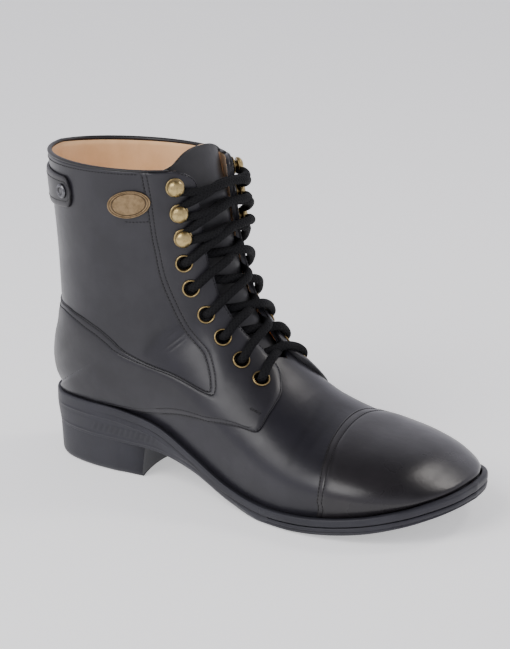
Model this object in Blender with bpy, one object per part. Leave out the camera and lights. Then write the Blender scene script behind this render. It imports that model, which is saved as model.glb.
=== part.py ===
"""Paddock boot for the right foot, in metres: +X to the toe, +Y to the inner side, +Z up.

The origin is on the floor under the middle of the heel. One function, last(), gives every
surface of the upper from a table of sections, and the leather pieces are cut between two
larger forms of it. The sole pieces follow the same edge line.
"""

import math

import bmesh
import bpy
import numpy as np
from mathutils import Matrix, Vector

# Main sizes of the last and the shaft
LAST_LENGTH = 0.278
BALL_WIDTH = 0.107
INSTEP_HEIGHT = 0.090
SHAFT_RISE = 0.101
HEEL_CENTRE = 0.038
SEAT_HEIGHT = 0.040

# Edge line of the upper seen from above, from the toe to the back of the heel.
# along is a share of LAST_LENGTH; outer and inner are shares of BALL_WIDTH.
# rise is the edge over the floor and under the sole under it, shares of SEAT_HEIGHT.
EDGE_COLUMNS = ("along", "outer", "inner", "rise", "under")
EDGE = np.array([
    (1.000, -0.050, -0.050, 0.650, 0.400),
    (0.991, -0.205, 0.105, 0.630, 0.385),
    (0.965, -0.332, 0.235, 0.575, 0.325),
    (0.920, -0.450, 0.340, 0.485, 0.235),
    (0.855, -0.535, 0.404, 0.380, 0.130),
    (0.775, -0.575, 0.432, 0.290, 0.045),
    (0.700, -0.575, 0.428, 0.245, 0.000),
    (0.620, -0.544, 0.390, 0.245, 0.000),
    (0.530, -0.484, 0.331, 0.345, 0.130),
    (0.430, -0.415, 0.278, 0.600, 0.370),
    (0.330, -0.362, 0.273, 0.880, 0.500),
    (0.230, -0.340, 0.290, 1.000, 0.510),
    (0.130, -0.320, 0.300, 1.020, 0.510),
    (0.055, -0.255, 0.250, 1.010, 0.510),
    (0.014, -0.140, 0.145, 1.000, 0.510),
    (0.000, 0.000, 0.000, 1.000, 0.510),
])

# Back seam above the sole, from the edge line to just over the collar.
# along is a share of LAST_LENGTH, foot of INSTEP_HEIGHT and shaft of SHAFT_RISE.
BACK = np.array([
    (0.000, 0.444, 0.00),
    (-0.016, 0.530, 0.00),
    (-0.021, 0.640, 0.00),
    (-0.015, 0.780, 0.00),
    (-0.004, 0.900, 0.00),
    (0.001, 1.000, 0.05),
    (-0.002, 1.000, 0.35),
    (-0.011, 1.000, 0.69),
    (-0.021, 1.000, 1.00),
    (-0.024, 1.000, 1.09),
])

# Sections of the upper, each from the ridge line over both sides to the edge line, which
# runs from 0 at the toe through 1 at the heel to 2 above the collar.
# along, foot and shaft place the ridge as in BACK, and lean is its share of BALL_WIDTH.
# outer and inner are half widths, shares of BALL_WIDTH; level is the share of the way
# down where the section is widest, and round is 2 for an ellipse and more for a box.
SECTION_COLUMNS = ("along", "foot", "shaft", "lean", "edge", "outer", "inner", "level", "round")
SECTIONS = np.array([
    (1.000, 0.289, 0.00, -0.020, 0.000, 0.000, 0.000, 0.75, 2.0),
    (0.999, 0.312, 0.00, -0.020, 0.050, 0.146, 0.095, 0.76, 1.9),
    (0.988, 0.333, 0.00, -0.020, 0.115, 0.285, 0.200, 0.79, 1.8),
    (0.963, 0.380, 0.00, -0.019, 0.185, 0.414, 0.315, 0.80, 1.8),
    (0.920, 0.445, 0.00, -0.010, 0.255, 0.522, 0.395, 0.76, 1.95),
    (0.860, 0.487, 0.00, -0.001, 0.320, 0.580, 0.436, 0.72, 2.2),
    (0.790, 0.525, 0.00, 0.013, 0.380, 0.600, 0.430, 0.70, 2.3),
    (0.715, 0.580, 0.00, 0.030, 0.437, 0.597, 0.400, 0.68, 2.15),
    (0.645, 0.670, 0.00, 0.037, 0.495, 0.565, 0.365, 0.64, 2.0),
    (0.580, 0.800, 0.00, 0.035, 0.555, 0.510, 0.340, 0.60, 1.9),
    (0.525, 0.930, 0.00, 0.027, 0.630, 0.450, 0.345, 0.57, 1.85),
    (0.485, 1.000, 0.09, 0.020, 0.740, 0.412, 0.360, 0.54, 1.9),
    (0.464, 1.000, 0.20, 0.015, 0.865, 0.403, 0.370, 0.53, 1.95),
    (0.448, 1.000, 0.32, 0.010, 1.000, 0.398, 0.378, 0.52, 2.0),
    (0.435, 1.000, 0.45, 0.005, 1.160, 0.396, 0.383, 0.51, 2.0),
    (0.423, 1.000, 0.58, 0.000, 1.320, 0.398, 0.388, 0.50, 2.0),
    (0.414, 1.000, 0.70, 0.000, 1.470, 0.405, 0.397, 0.50, 2.0),
    (0.406, 1.000, 0.81, 0.000, 1.620, 0.414, 0.409, 0.50, 2.0),
    (0.400, 1.000, 0.91, 0.000, 1.760, 0.424, 0.421, 0.50, 2.0),
    (0.394, 1.000, 1.00, 0.000, 1.890, 0.434, 0.433, 0.50, 2.0),
    (0.389, 1.000, 1.09, 0.000, 2.000, 0.442, 0.442, 0.50, 2.0),
])


def through(rows, at):
    """A smooth curve through the rows of a table, read at row numbers that may be fractions."""
    rows = np.asarray(rows, float)
    slopes = np.gradient(rows, axis=0)
    at = np.clip(np.asarray(at, float), 0, len(rows) - 1)
    low = np.minimum(at.astype(int), len(rows) - 2)
    t = (at - low)[..., None]
    return (
        (1 + 2 * t) * (1 - t) ** 2 * rows[low]
        + t * (1 - t) ** 2 * slopes[low]
        + t * t * (3 - 2 * t) * rows[low + 1]
        + t * t * (t - 1) * slopes[low + 1]
    )


def edge_line(share, side, grow=0.0):
    """A point of the edge line, side -1 for the outer edge and 1 for the inner, moved
    outwards by grow in plan. share is 0 at the toe and 1 at the back of the heel."""
    def plan(at):
        row = through(EDGE, at * (len(EDGE) - 1))
        across = np.where(side < 0, row[..., 1], row[..., 2])
        return np.stack([row[..., 0] * LAST_LENGTH, across * BALL_WIDTH, row[..., 3] * SEAT_HEIGHT], -1)
    share, side = np.broadcast_arrays(np.asarray(share, float), np.asarray(side, float))
    here = plan(share)
    step = 1e-4
    run = plan(np.minimum(share + step, 1)) - plan(np.maximum(share - step, 0))
    run[..., 2] = 0
    tip = (share < step)[..., None]
    heel = (share > 1 - step)[..., None]
    out = np.stack([run[..., 1] * -side, run[..., 0] * side, np.zeros_like(side)], -1)
    out /= np.linalg.norm(out, axis=-1, keepdims=True) + 1e-12
    out = np.where(out[..., 1:2] * side[..., None] < 0, -out, out)
    out = np.where(tip, np.array([1.0, 0, 0]), np.where(heel, np.array([-1.0, 0, 0]), out))
    return here + np.asarray(grow, float)[..., None] * out


def back_line(share, grow=0.0):
    """A point of the back seam, share 0 at the edge line and 1 above the collar."""
    def plan(at):
        row = through(BACK, at * (len(BACK) - 1))
        height = row[..., 1] * INSTEP_HEIGHT + row[..., 2] * SHAFT_RISE
        return np.stack([row[..., 0] * LAST_LENGTH, np.zeros_like(height), height], -1)
    share = np.asarray(share, float)
    run = plan(np.minimum(share + 1e-4, 1)) - plan(np.maximum(share - 1e-4, 0))
    out = np.stack([-run[..., 2], np.zeros_like(share), run[..., 0]], -1)
    out /= np.linalg.norm(out, axis=-1, keepdims=True)
    return plan(share) + np.asarray(grow, float)[..., None] * out


def last(row, turn, grow=0.0):
    """A point of the upper's outer face, moved outwards by grow.

    row is a row number of SECTIONS, a fraction between two of them. turn is 0 on the ridge
    and -1 or 1 where the section ends on the outer or inner side. Above its widest place a
    section is a power curve; below it the wall runs down to the sole steeply, and sections
    that end on the back seam close round.
    """
    row, turn, grow = np.broadcast_arrays(
        np.asarray(row, float), np.asarray(turn, float), np.asarray(grow, float))
    def ridge(at):
        r = through(SECTIONS, at)
        height = r[..., 1] * INSTEP_HEIGHT + r[..., 2] * SHAFT_RISE
        return np.stack([r[..., 0] * LAST_LENGTH, r[..., 3] * BALL_WIDTH, height], -1), r
    top, r = ridge(row)
    run = ridge(np.minimum(row + 1e-3, len(SECTIONS) - 1))[0] - ridge(np.maximum(row - 1e-3, 0))[0]
    up = np.stack([run[..., 2], np.zeros_like(row), -run[..., 0]], -1)
    up /= np.linalg.norm(up, axis=-1, keepdims=True)
    top = top + grow[..., None] * up
    side = np.where(turn < 0, -1.0, 1.0)
    edge = r[..., 4]
    foot = edge_line(np.clip(edge, 0, 1), side, grow)
    seam = back_line(np.clip(edge - 1, 0, 1), grow)
    end = np.where((edge <= 1)[..., None], foot, seam)
    down = end - top
    across = side * down[..., 1]
    down[..., 1] = 0
    wide = np.where(side < 0, r[..., 5], r[..., 6]) * BALL_WIDTH + grow
    wide = np.maximum(wide, across)
    level, power = r[..., 7], 2 / r[..., 8]
    a = np.abs(turn)
    upper = a < level
    first = np.clip(a / level, 0, 1) * np.pi / 2
    second = np.clip((a - level) / (1 - level), 0, 1)
    y1 = wide * np.sin(first) ** power
    q1 = level * (1 - np.cos(first) ** power)
    steep = np.clip((1 - edge) / 0.3, 0, 1)
    y2 = across + (wide - across) * (steep * (1 - second**2) + (1 - steep) * np.cos(second * np.pi / 2))
    q2 = level + (1 - level) * (steep * second + (1 - steep) * np.sin(second * np.pi / 2))
    y = np.where(upper, y1, y2)
    q = np.where(upper, q1, q2)
    return top + q[..., None] * down + (side * y)[..., None] * np.array([0, 1.0, 0])


for item in list(bpy.data.objects):
    bpy.data.objects.remove(item, do_unlink=True)


def material(name, colour, roughness, metallic=0.0):
    """A Principled material."""
    made = bpy.data.materials.new(name)
    made.use_nodes = True
    shader = made.node_tree.nodes["Principled BSDF"]
    shader.inputs["Base Color"].default_value = (*colour, 1)
    shader.inputs["Roughness"].default_value = roughness
    shader.inputs["Metallic"].default_value = metallic
    made.diffuse_color = (*colour, 1)
    made.roughness = roughness
    made.metallic = metallic
    return made


LEATHER = ("black leather", (0.028, 0.027, 0.029), 0.48)
RUBBER = ("black rubber", (0.030, 0.032, 0.038), 0.55)
LINING = ("tan lining", (0.52, 0.33, 0.19), 0.75)
LACE = ("black lace", (0.012, 0.012, 0.014), 0.85)
BRASS = ("antique brass", (0.50, 0.36, 0.16), 0.35, 1.0)


def solid(name, sheets, look, lids=(), weld=1e-5):
    """One closed object from grids of points, its faces turned outwards.

    sheets is a list of arrays shaped (rows, columns, 3) and lids a list of flat loops that
    each become one face. Points that meet are joined and faces that shrink to nothing are
    left out.
    """
    shape = bmesh.new()
    for sheet in sheets:
        grid = [[shape.verts.new(Vector(p)) for p in line] for line in np.asarray(sheet)]
        for one, two in zip(grid, grid[1:]):
            for a, b, c, d in zip(one, one[1:], two[1:], two):
                shape.faces.new((a, b, c, d))
    for lid in lids:
        shape.faces.new([shape.verts.new(Vector(p)) for p in lid])
    bmesh.ops.remove_doubles(shape, verts=shape.verts, dist=weld)
    bmesh.ops.dissolve_degenerate(shape, edges=shape.edges, dist=weld)
    bmesh.ops.recalc_face_normals(shape, faces=shape.faces)
    mesh = bpy.data.meshes.new(name)
    shape.to_mesh(mesh)
    shape.free()
    mesh.materials.append(material(name + " " + look[0], *look[1:]))
    item = bpy.data.objects.new(name, mesh)
    bpy.context.scene.collection.objects.link(item)
    item.location.x = -HEEL_CENTRE
    return item


def rims(front, back, ends=(True, True, True, True)):
    """The two grids of a slab and the strips that close its sides: first and last line,
    first and last column."""
    sheets = [front, back]
    for wanted, pick in zip(ends, (np.s_[0], np.s_[-1], np.s_[:, 0], np.s_[:, -1])):
        if wanted:
            sheets.append(np.stack([front[pick], back[pick]]))
    return sheets


def slab(name, row, turn, low, high, look):
    """A piece of leather between two larger forms of the last, over a grid of rows and turns."""
    return solid(name, rims(last(row, turn, high), last(row, turn, low)), look)


# Upper: the whole body of the boot, a wall of even thickness that is open at the collar,
# along the throat and underneath. THROAT gives the half gap as a turn over the rows.
COLLAR_ROW = 19.0
WALL = 0.0024
THROAT = np.array([(9.50, 0.000), (9.80, 0.075), (10.30, 0.105), (11.00, 0.125),
                   (13.00, 0.140), (15.00, 0.145), (18.20, 0.122), (19.00, 0.120)])
UPPER_ROWS = np.array([0, 0.35, 0.75, 1.2, 1.6, 2, 2.5, 3, 3.5, 4, 4.6, 5.2, 5.9, 6.6, 7.2, 7.8, 8.4, 9,
                       9.5, 9.8, 10.2, 10.6, 11, 11.5, 12, 12.5, 13, 14, 15, 16, 17, 18, 19])


def throat(row):
    """Half width of the throat as a turn."""
    return np.interp(row, THROAT[:, 0], THROAT[:, 1])


def upper_sheets(rows, across, grow_out, grow_in):
    """Outer and inner faces of both halves, with the strips along the three openings."""
    share = np.linspace(0, 1, across + 1)
    sheets = []
    for side in (-1, 1):
        row = np.repeat(rows[:, None], across + 1, 1)
        turn = side * (throat(row) + (1 - throat(row)) * share)
        turn[:, 0] = np.where(throat(rows) > 0, turn[:, 0], side * 1e-9)
        out = last(row, turn, grow_out)
        inn = last(row, turn, grow_in)
        out[0] = out[0, 0]
        inn[0] = inn[0, 0]
        bottom = rows <= 13
        gap = rows >= THROAT[0, 0]
        sheets += [out, inn, np.stack([out[-1], inn[-1]])]
        sheets.append(np.stack([out[bottom, -1], inn[bottom, -1]]))
        sheets.append(np.stack([out[gap, 0], inn[gap, 0]]))
    return sheets


upper = solid("upper", upper_sheets(UPPER_ROWS, 9, 0.0, -WALL), LEATHER)


# Toe cap: from the toe tip to a curved seam across the vamp. CAP_SEAM is its row over the
# size of the turn.
CAP_SEAM = np.array([(0.00, 6.66), (0.16, 6.62), (0.31, 6.33), (0.43, 6.07), (0.65, 5.63), (1.00, 5.27)])
SKIN = 0.0005
LAYER = 0.0019

share = np.array([0, 0.06, 0.12, 0.2, 0.3, 0.41, 0.53, 0.65, 0.77, 0.89, 1.0])
turn = np.linspace(-0.94, 0.94, 17)[None, :] + 0 * share[:, None]
row = 0.25 + share[:, None] * (-0.25 + np.interp(np.abs(turn), CAP_SEAM[:, 0], CAP_SEAM[:, 1]))
front = last(row, turn, LAYER - 0.0003)
back = last(row, turn, SKIN + 0.0002)
solid("toe_cap", rims(front, back), LEATHER)


# Quarters: a band from the collar down the eyelets, round the front of the throat and back
# to the heel. The first line is its inner edge, the seams of the shaft, and the second its
# outer edge: throat, front corner, vamp seam, sole and back seam. Columns: row, turn.
QUARTER_INNER = np.array([
    (19.00, 0.315), (17.90, 0.318), (16.60, 0.311), (14.80, 0.307), (13.30, 0.300), (12.20, 0.295),
    (11.00, 0.310), (10.59, 0.325), (10.31, 0.355), (10.20, 0.380), (10.12, 0.400), (10.06, 0.416),
    (10.03, 0.430), (10.20, 0.456), (10.52, 0.485), (11.31, 0.505), (12.15, 0.500), (13.00, 0.512),
    (13.71, 0.530), (14.43, 0.565), (15.40, 0.640), (16.36, 0.740), (16.95, 0.860), (17.10, 0.997),
])
QUARTER_OUTER = np.array([
    (19.00, 0.175), (18.45, 0.130), (17.00, 0.132), (14.60, 0.150), (13.35, 0.147), (12.00, 0.140),
    (10.87, 0.128), (10.15, 0.092), (9.43, 0.095), (8.99, 0.140), (8.72, 0.200), (8.58, 0.310),
    (8.51, 0.420), (9.10, 0.428), (9.80, 0.503), (10.38, 0.670), (10.66, 0.800), (10.98, 0.915),
    (11.50, 0.925), (12.00, 0.922), (12.50, 0.908), (13.00, 0.888), (13.30, 0.925), (13.44, 0.997),
])


def quarter_grid(along, across, side):
    """Rows and turns of a quarter: along the band and across it."""
    at = np.linspace(0, len(QUARTER_INNER) - 1, along)
    one = through(QUARTER_INNER, at)[:, None]
    two = through(QUARTER_OUTER, at)[:, None]
    mix = np.linspace(0, 1, across)[None, :, None]
    both = one * (1 - mix) + two * mix
    return both[..., 0], side * np.minimum(both[..., 1], 0.997)


quarters = []
for name, side in (("quarter_outer", -1), ("quarter_inner", 1)):
    row, turn = quarter_grid(39, 6, side)
    quarters.append(slab(name, row, turn, SKIN + 0.0003, LAYER, LEATHER))


def spot(row, turn, grow):
    """A frame on the surface with Z straight out of it and X towards the ridge."""
    here = last(row, turn, grow)
    ahead = last(row + 0.02, turn, grow) - last(row - 0.02, turn, grow)
    aside = last(row, turn + 0.002, grow) - last(row, turn - 0.002, grow)
    out = np.cross(aside, ahead)
    out /= np.linalg.norm(out)
    if np.dot(last(row, turn, grow + 0.001) - here, out) < 0:
        out = -out
    if abs(turn) > 0:
        aside = -np.sign(turn) * aside
    aside -= np.dot(aside, out) * out
    aside /= np.linalg.norm(aside)
    other = np.cross(out, aside)
    frame = Matrix.Identity(4)
    for i in range(3):
        frame[i][0], frame[i][1], frame[i][2], frame[i][3] = aside[i], other[i], out[i], here[i]
    return frame


def turned(name, profile, steps, frame, look, closed=False):
    """A round part from its profile of (radius, height) about the Z axis of a frame. A
    closed profile is a ring; an open one starts and ends on the axis."""
    points = list(profile) + ([profile[0]] if closed else [])
    angle = np.linspace(0, 2 * np.pi, steps + 1)
    sheet = np.array([[(r * math.cos(t), r * math.sin(t), z) for t in angle] for r, z in points])
    flat = sheet.reshape(-1, 3)
    placed = np.array([frame @ Vector(p) for p in flat]).reshape(sheet.shape)
    return solid(name, [placed], look)


# Eyelets and hooks: six pairs of rolled brass rings with their barrels in real holes and
# three pairs of speed hooks over them. Columns: row, turn.
EYELETS = np.array([(14.87, 0.235), (13.75, 0.235), (12.31, 0.220), (11.07, 0.225), (10.23, 0.225), (9.42, 0.215)])
HOOKS = np.array([(18.25, 0.225), (17.13, 0.225), (16.01, 0.225)])
RING = [(0.0025, -0.0041), (0.0030, -0.0041), (0.0030, 0.0006), (0.0050, 0.0006), (0.0053, 0.0010),
        (0.0042, 0.0018), (0.0027, 0.0015)]
HOOK = [(0.0, 0.0004), (0.0048, 0.0004), (0.0048, 0.0010), (0.0018, 0.0013), (0.0018, 0.0033), (0.0043, 0.0035),
        (0.0049, 0.0043), (0.0040, 0.0055), (0.0022, 0.0062), (0.0, 0.0064)]

holes = []
for side, where in ((-1, "outer"), (1, "inner")):
    for number, (row, turn) in enumerate(EYELETS, 1):
        frame = spot(row, side * turn, LAYER)
        turned("eyelet_%s_%d" % (where, number), RING, 9, frame, BRASS, closed=True)
        bore = [(0.0, -0.008), (0.0034, -0.008), (0.0034, 0.003), (0.0, 0.003)]
        holes.append(turned("bore_%s_%d" % (where, number), bore, 8, frame, LACE))
    for number, (row, turn) in enumerate(HOOKS, 1):
        turned("hook_%s_%d" % (where, number), HOOK, 9, spot(row, side * turn, LAYER), BRASS)

for body in [upper] + quarters:
    for bore in holes:
        if body.name.startswith("quarter") and body.name.split("_")[1] != bore.name.split("_")[1]:
            continue
        cut = body.modifiers.new(bore.name, "BOOLEAN")
        cut.operation = "DIFFERENCE"
        cut.solver = "EXACT"
        cut.object = bore
for bore in holes:
    bore.hide_render = True
    bore.display_type = "WIRE"


# Collar binding: a rounded leather edge along the top rim, from one side of the throat round
# the back to the other. Columns of BINDING: rows over the collar row, grow.
BINDING = np.array([(0.035, 0.0004), (0.21, 0.0006), (0.32, -0.0002), (0.35, -0.0012), (0.32, -0.0020),
                    (0.21, -0.0026), (0.035, -0.0025), (0.035, 0.0004)])
around = []
for side in (-1, 1):
    turn = np.linspace(0.180, 1.0, 17)
    turn = turn if side < 0 else turn[::-1]
    around.append([last(COLLAR_ROW + BINDING[:, 0], side * t, BINDING[:, 1]) for t in turn])
ring = np.array(around[0] + around[1][1:])
caps = [np.stack([ring[i, :4], ring[i, [7, 6, 5, 4]]]) for i in (0, -1)]
solid("collar_binding", [ring] + caps, LEATHER)


# Tongue: a leather sheet behind the throat from over the toes to just over the collar.
row = np.array([8.7, 9.2, 9.7, 10.2, 10.7, 11.3, 12, 13, 14, 15, 16, 17, 18, 19, 19.8])[:, None]
width = np.interp(row, [8.7, 10, 13, 17, 19.3, 19.8], [0.17, 0.24, 0.27, 0.28, 0.27, 0.22])
turn = width * np.linspace(-1, 1, 9)[None, :]
row = row + 0 * turn
slab("tongue", row, turn, -WALL - 0.0031, -WALL - 0.0012, LEATHER)


# Sole unit: rings of points round the edge line. Each line of the profile gives how far out
# it stands and its height: first a share between the bottom and the top, then metres.
share = np.concatenate([[0], np.linspace(0.02, 0.45, 15), [0.468], np.linspace(0.486, 0.98, 15), [1.0]])
edge = through(EDGE, share * (len(EDGE) - 1))
along = edge[:, 0]
rise = edge[:, 3] * SEAT_HEIGHT
under = np.maximum(edge[:, 4], 0) * SEAT_HEIGHT
fore = np.clip((share - 0.45) / 0.036, 0, 1)
fore = 1 - fore * fore * (3 - 2 * fore)
reach = np.interp(share, [0, 0.30, 0.42, 0.52, 0.62, 0.75, 1.0], [0.0064, 0.0062, 0.0056, 0.0044, 0.0044, 0.0050, 0.0050])
top = rise + 0.0016 - 0.0046 * fore
groove = 0.0010 * fore


def ring_at(grow, height):
    """A closed loop of points round the sole at a distance out and a height per station."""
    grow = grow + 0 * share
    height = height + 0 * share
    lines = []
    for side in (-1, 1):
        line = edge_line(share, side, grow)
        line[:, 2] = height
        lines.append(line)
    return np.concatenate([lines[0], lines[1][-2::-1]])


low = rise - 0.0005
deep = np.interp(share, [0, 0.45, 0.486, 0.7, 0.8, 1.0], [0.0026, 0.0026, 0.004, 0.010, 0.012, 0.012])
profile = [
    (-0.0090, low), (0.0020, low), (0.0024, top), (reach - 0.0007, top), (reach, top - 0.0008),
    (reach, under + deep + 0.0008), (reach - 0.0002 - groove, under + deep), (reach - 0.0001, under + deep - 0.0008),
    (reach - 0.0004 - 0.0012 * (1 - fore), under + 0.0008), (reach - 0.0012 - 0.0012 * (1 - fore), under), (-0.0090, under),
]
rings = np.array([ring_at(grow, height) for grow, height in profile])
half = len(share) - 1
plates = [np.stack([line[:half + 1], line[:half - 1:-1]]) for line in (rings[0], rings[-1])]
solid("outsole", [rings] + plates, RUBBER)

# Welt: a strip on the sole round the forefoot, between the two ends of the waist.
front = share <= 0.4501
keep = np.concatenate([np.nonzero(front)[0][::-1], len(rings[0]) - np.nonzero(front)[0][1:]])
lines = []
for grow, height in ((0.0027, rise - 0.0027), (0.0027, rise + 0.0012), (0.0034, rise + 0.0018), (reach - 0.0009, rise + 0.0016),
                     (reach - 0.0001, rise + 0.0006), (reach - 0.0001, rise - 0.0018), (reach - 0.0009, rise - 0.0027)):
    lines.append(ring_at(grow, height)[keep])
strip = np.array(lines + lines[:1])
ends = [np.stack([strip[1:4, i], strip[[7, 6, 5], i]]) for i in (0, -1)]
ends += [np.stack([strip[[3, 4], i], strip[[5, 5], i]]) for i in (0, -1)]
solid("welt", [strip] + ends, RUBBER)

# Heel: a block under the seat with a hollow front face and an even taper to the floor.
BREAST = 0.077
place = np.concatenate([np.linspace(0.735, 0.96, 11), [0.985, 1.0]])
HEEL_GAP = 0.0004
heel_top = EDGE[-1, 4] * SEAT_HEIGHT - HEEL_GAP
levels = [(0.0014, 0.0), (0.0022, 0.0008), (0.0030, heel_top - 0.0010), (0.0026, heel_top)]
rings = []
for grow, height in levels:
    sides = []
    for side in (-1, 1):
        line = edge_line(place, side, grow)
        line[:, 2] = height
        line[0, 0] = BREAST + 0.0016 * (2 * height / heel_top - 1)
        sides.append(line)
    first, second = sides[0][0], sides[1][0]
    mix = np.linspace(0, 1, 7)[1:-1, None]
    breast = second * (1 - mix) + first * mix
    breast[:, 0] -= 0.0060 * np.sin(np.pi * mix[:, 0])
    loop = np.concatenate([sides[0], sides[1][-2::-1], breast, sides[0][:1]])
    rings.append(loop)
rings = np.array(rings)
solid("heel", [rings], RUBBER, [rings[0, :-1], rings[-1, :-1]])

# Insole: a thin tan sheet inside the upper, over the opening of its bottom. TOE_PULL is how
# much further in it ends at the toe, where the upper is low.
TOE_PULL = 0.0060
inner = np.concatenate([[0], np.linspace(0.035, 0.965, 21), [1.0]])
lines = []
for grow, lift in ((-0.0120, 0.0005), (-WALL - 0.0016, 0.0005), (-WALL - 0.0016, 0.0020), (-WALL - 0.0022, 0.0024), (-0.0120, 0.0026)):
    sides = []
    for side in (-1, 1):
        line = edge_line(inner, side, grow - TOE_PULL * np.clip(1 - inner / 0.2, 0, 1))
        line[:, 2] += lift
        sides.append(line)
    lines.append(np.concatenate([sides[0], sides[1][-2::-1]]))
lines = np.array(lines)
half = len(inner) - 1
plates = [np.stack([line[:half + 1], line[:half - 1:-1]]) for line in (lines[0], lines[-1])]
solid("insole", [lines] + plates, LINING)


# Back strap: leather round the back of the collar with a snap at each rounded end.
part = np.concatenate([np.linspace(-1, -0.88, 5), np.linspace(-0.72, 0.72, 11), np.linspace(0.88, 1, 5)])[:, None]
size = np.abs(part)
bow = np.sqrt(np.clip(1 - (np.maximum(size - 0.88, 0) / 0.12) ** 2, 0.05, 1))
turn = np.sign(part + 1e-9) * (1 - 0.385 * size)
middle = 18.34 + 0.13 * (1 - size)
row = middle + (0.30 - 0.03 * (1 - size)) * bow * np.linspace(-1, 1, 4)[None, :]
turn = turn + 0 * row
slab("back_strap", row, turn, SKIN, 0.0021, LEATHER)

SNAP = [(0.0, 0.0002), (0.0042, 0.0002), (0.0045, 0.0008), (0.0036, 0.0016), (0.0024, 0.0013), (0.0, 0.0015)]
for name, side in (("snap_outer", -1), ("snap_inner", 1)):
    turned(name, SNAP, 12, spot(18.36, side * 0.655, 0.0021), BRASS)


# Badge: a bare oval plate on the outer side of the shaft, with a raised edge.
PLATE = [(0.0, 0.0003), (0.97, 0.0003), (1.0, 0.0008), (0.97, 0.0016), (0.88, 0.0016), (0.84, 0.0012), (0.0, 0.0012)]
angle = np.linspace(0, 2 * np.pi, 21)[None, :]
size = np.array([p[0] for p in PLATE])[:, None]
height = np.array([p[1] for p in PLATE])[:, None]
row = 17.93 + size * (0.42 * np.sin(angle) - 0.11 * np.cos(angle))
turn = -0.390 + size * (0.0725 * np.cos(angle) + 0.007 * np.sin(angle))
solid("badge", [last(row, turn, height + 0 * turn)], BRASS)


# Laces: two lines that run from side to side up the throat and join where they cross.
PATH = [(9.42, 0.150), (10.23, 0.180), (11.07, 0.190), (12.31, 0.190), (13.75, 0.200), (14.87, 0.200), (16.01, 0.155),
        (17.13, 0.155), (18.25, 0.155)]
LACE_SIZE = 0.0023


def lace_tube(name, side):
    """A tube up the throat that changes sides at every pair of eyelets or hooks."""
    spine = []
    for number in range(len(PATH) - 1):
        (row_a, turn_a), (row_b, turn_b) = PATH[number], PATH[number + 1]
        hand = side if number % 2 == 0 else -side
        for mix in (0.0, 0.16, 0.5, 0.84):
            row = row_a + (row_b - row_a) * mix
            turn = hand * (turn_a * (1 - mix) - turn_b * mix)
            spine.append(last(row, turn, 0.0067 - 0.0022 * math.sin(math.pi * mix)))
    row, turn = PATH[-1]
    hand = side if (len(PATH) - 1) % 2 == 0 else -side
    spine.append(last(row, hand * turn, 0.0067))
    spine = np.array(spine)
    run = np.gradient(spine, axis=0)
    run /= np.linalg.norm(run, axis=1, keepdims=True)
    up = np.array([0.75, 0, 0.66]) - (run @ np.array([0.75, 0, 0.66]))[:, None] * run
    up /= np.linalg.norm(up, axis=1, keepdims=True)
    aside = np.cross(run, up)
    angle = np.linspace(0, 2 * np.pi, 6)[None, :, None]
    tube = spine[:, None] + LACE_SIZE * (np.cos(angle) * aside[:, None] + np.sin(angle) * up[:, None])
    return solid(name, [tube], LACE, [tube[0, :-1], tube[-1, :-1]])


laces = lace_tube("laces", -1)
second = lace_tube("second_lace", 1)
joined = laces.modifiers.new("join", "BOOLEAN")
joined.operation = "UNION"
joined.solver = "EXACT"
joined.object = second
second.hide_render = True
second.display_type = "WIRE"
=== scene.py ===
"""Looks of a black leather paddock boot for the right foot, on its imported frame, in metres."""

import math

import bmesh
import bpy
import numpy as np
from mathutils import Matrix, Vector


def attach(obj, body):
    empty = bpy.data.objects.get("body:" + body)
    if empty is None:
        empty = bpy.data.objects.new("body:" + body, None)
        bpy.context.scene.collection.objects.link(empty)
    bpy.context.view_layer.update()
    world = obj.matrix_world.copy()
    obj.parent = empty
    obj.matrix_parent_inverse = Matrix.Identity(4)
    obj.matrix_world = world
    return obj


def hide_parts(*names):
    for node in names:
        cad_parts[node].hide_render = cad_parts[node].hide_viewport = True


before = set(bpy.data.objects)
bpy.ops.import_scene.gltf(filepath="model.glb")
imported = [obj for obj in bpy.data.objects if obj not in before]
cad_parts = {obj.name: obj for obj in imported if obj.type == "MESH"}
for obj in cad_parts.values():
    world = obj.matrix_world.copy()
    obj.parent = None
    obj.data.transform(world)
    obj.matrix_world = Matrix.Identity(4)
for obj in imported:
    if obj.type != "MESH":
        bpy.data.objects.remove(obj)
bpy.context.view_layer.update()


# ---- Upper ----------------------------------------------------------------------------
# The body of the boot in smooth black calf, drawn over a last. Every leather piece is a
# grid of rows and turns on this one form, so its tables and the helpers start here.
LAST_LENGTH = 0.278
BALL_WIDTH = 0.107
INSTEP_HEIGHT = 0.090
SHAFT_RISE = 0.101
HEEL_CENTRE = 0.038
SEAT_HEIGHT = 0.040
WALL = 0.0024
LAYER = 0.0019
COLLAR_ROW = 19.0
COLLAR_DIP = 0.17
SWELL = 0.00012
CREASE_FULL = 0.0004
BORE, BORE_CUT, BORE_PULL, BORE_REACH = 0.0044, 0.0036, 0.0049, 0.008

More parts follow.
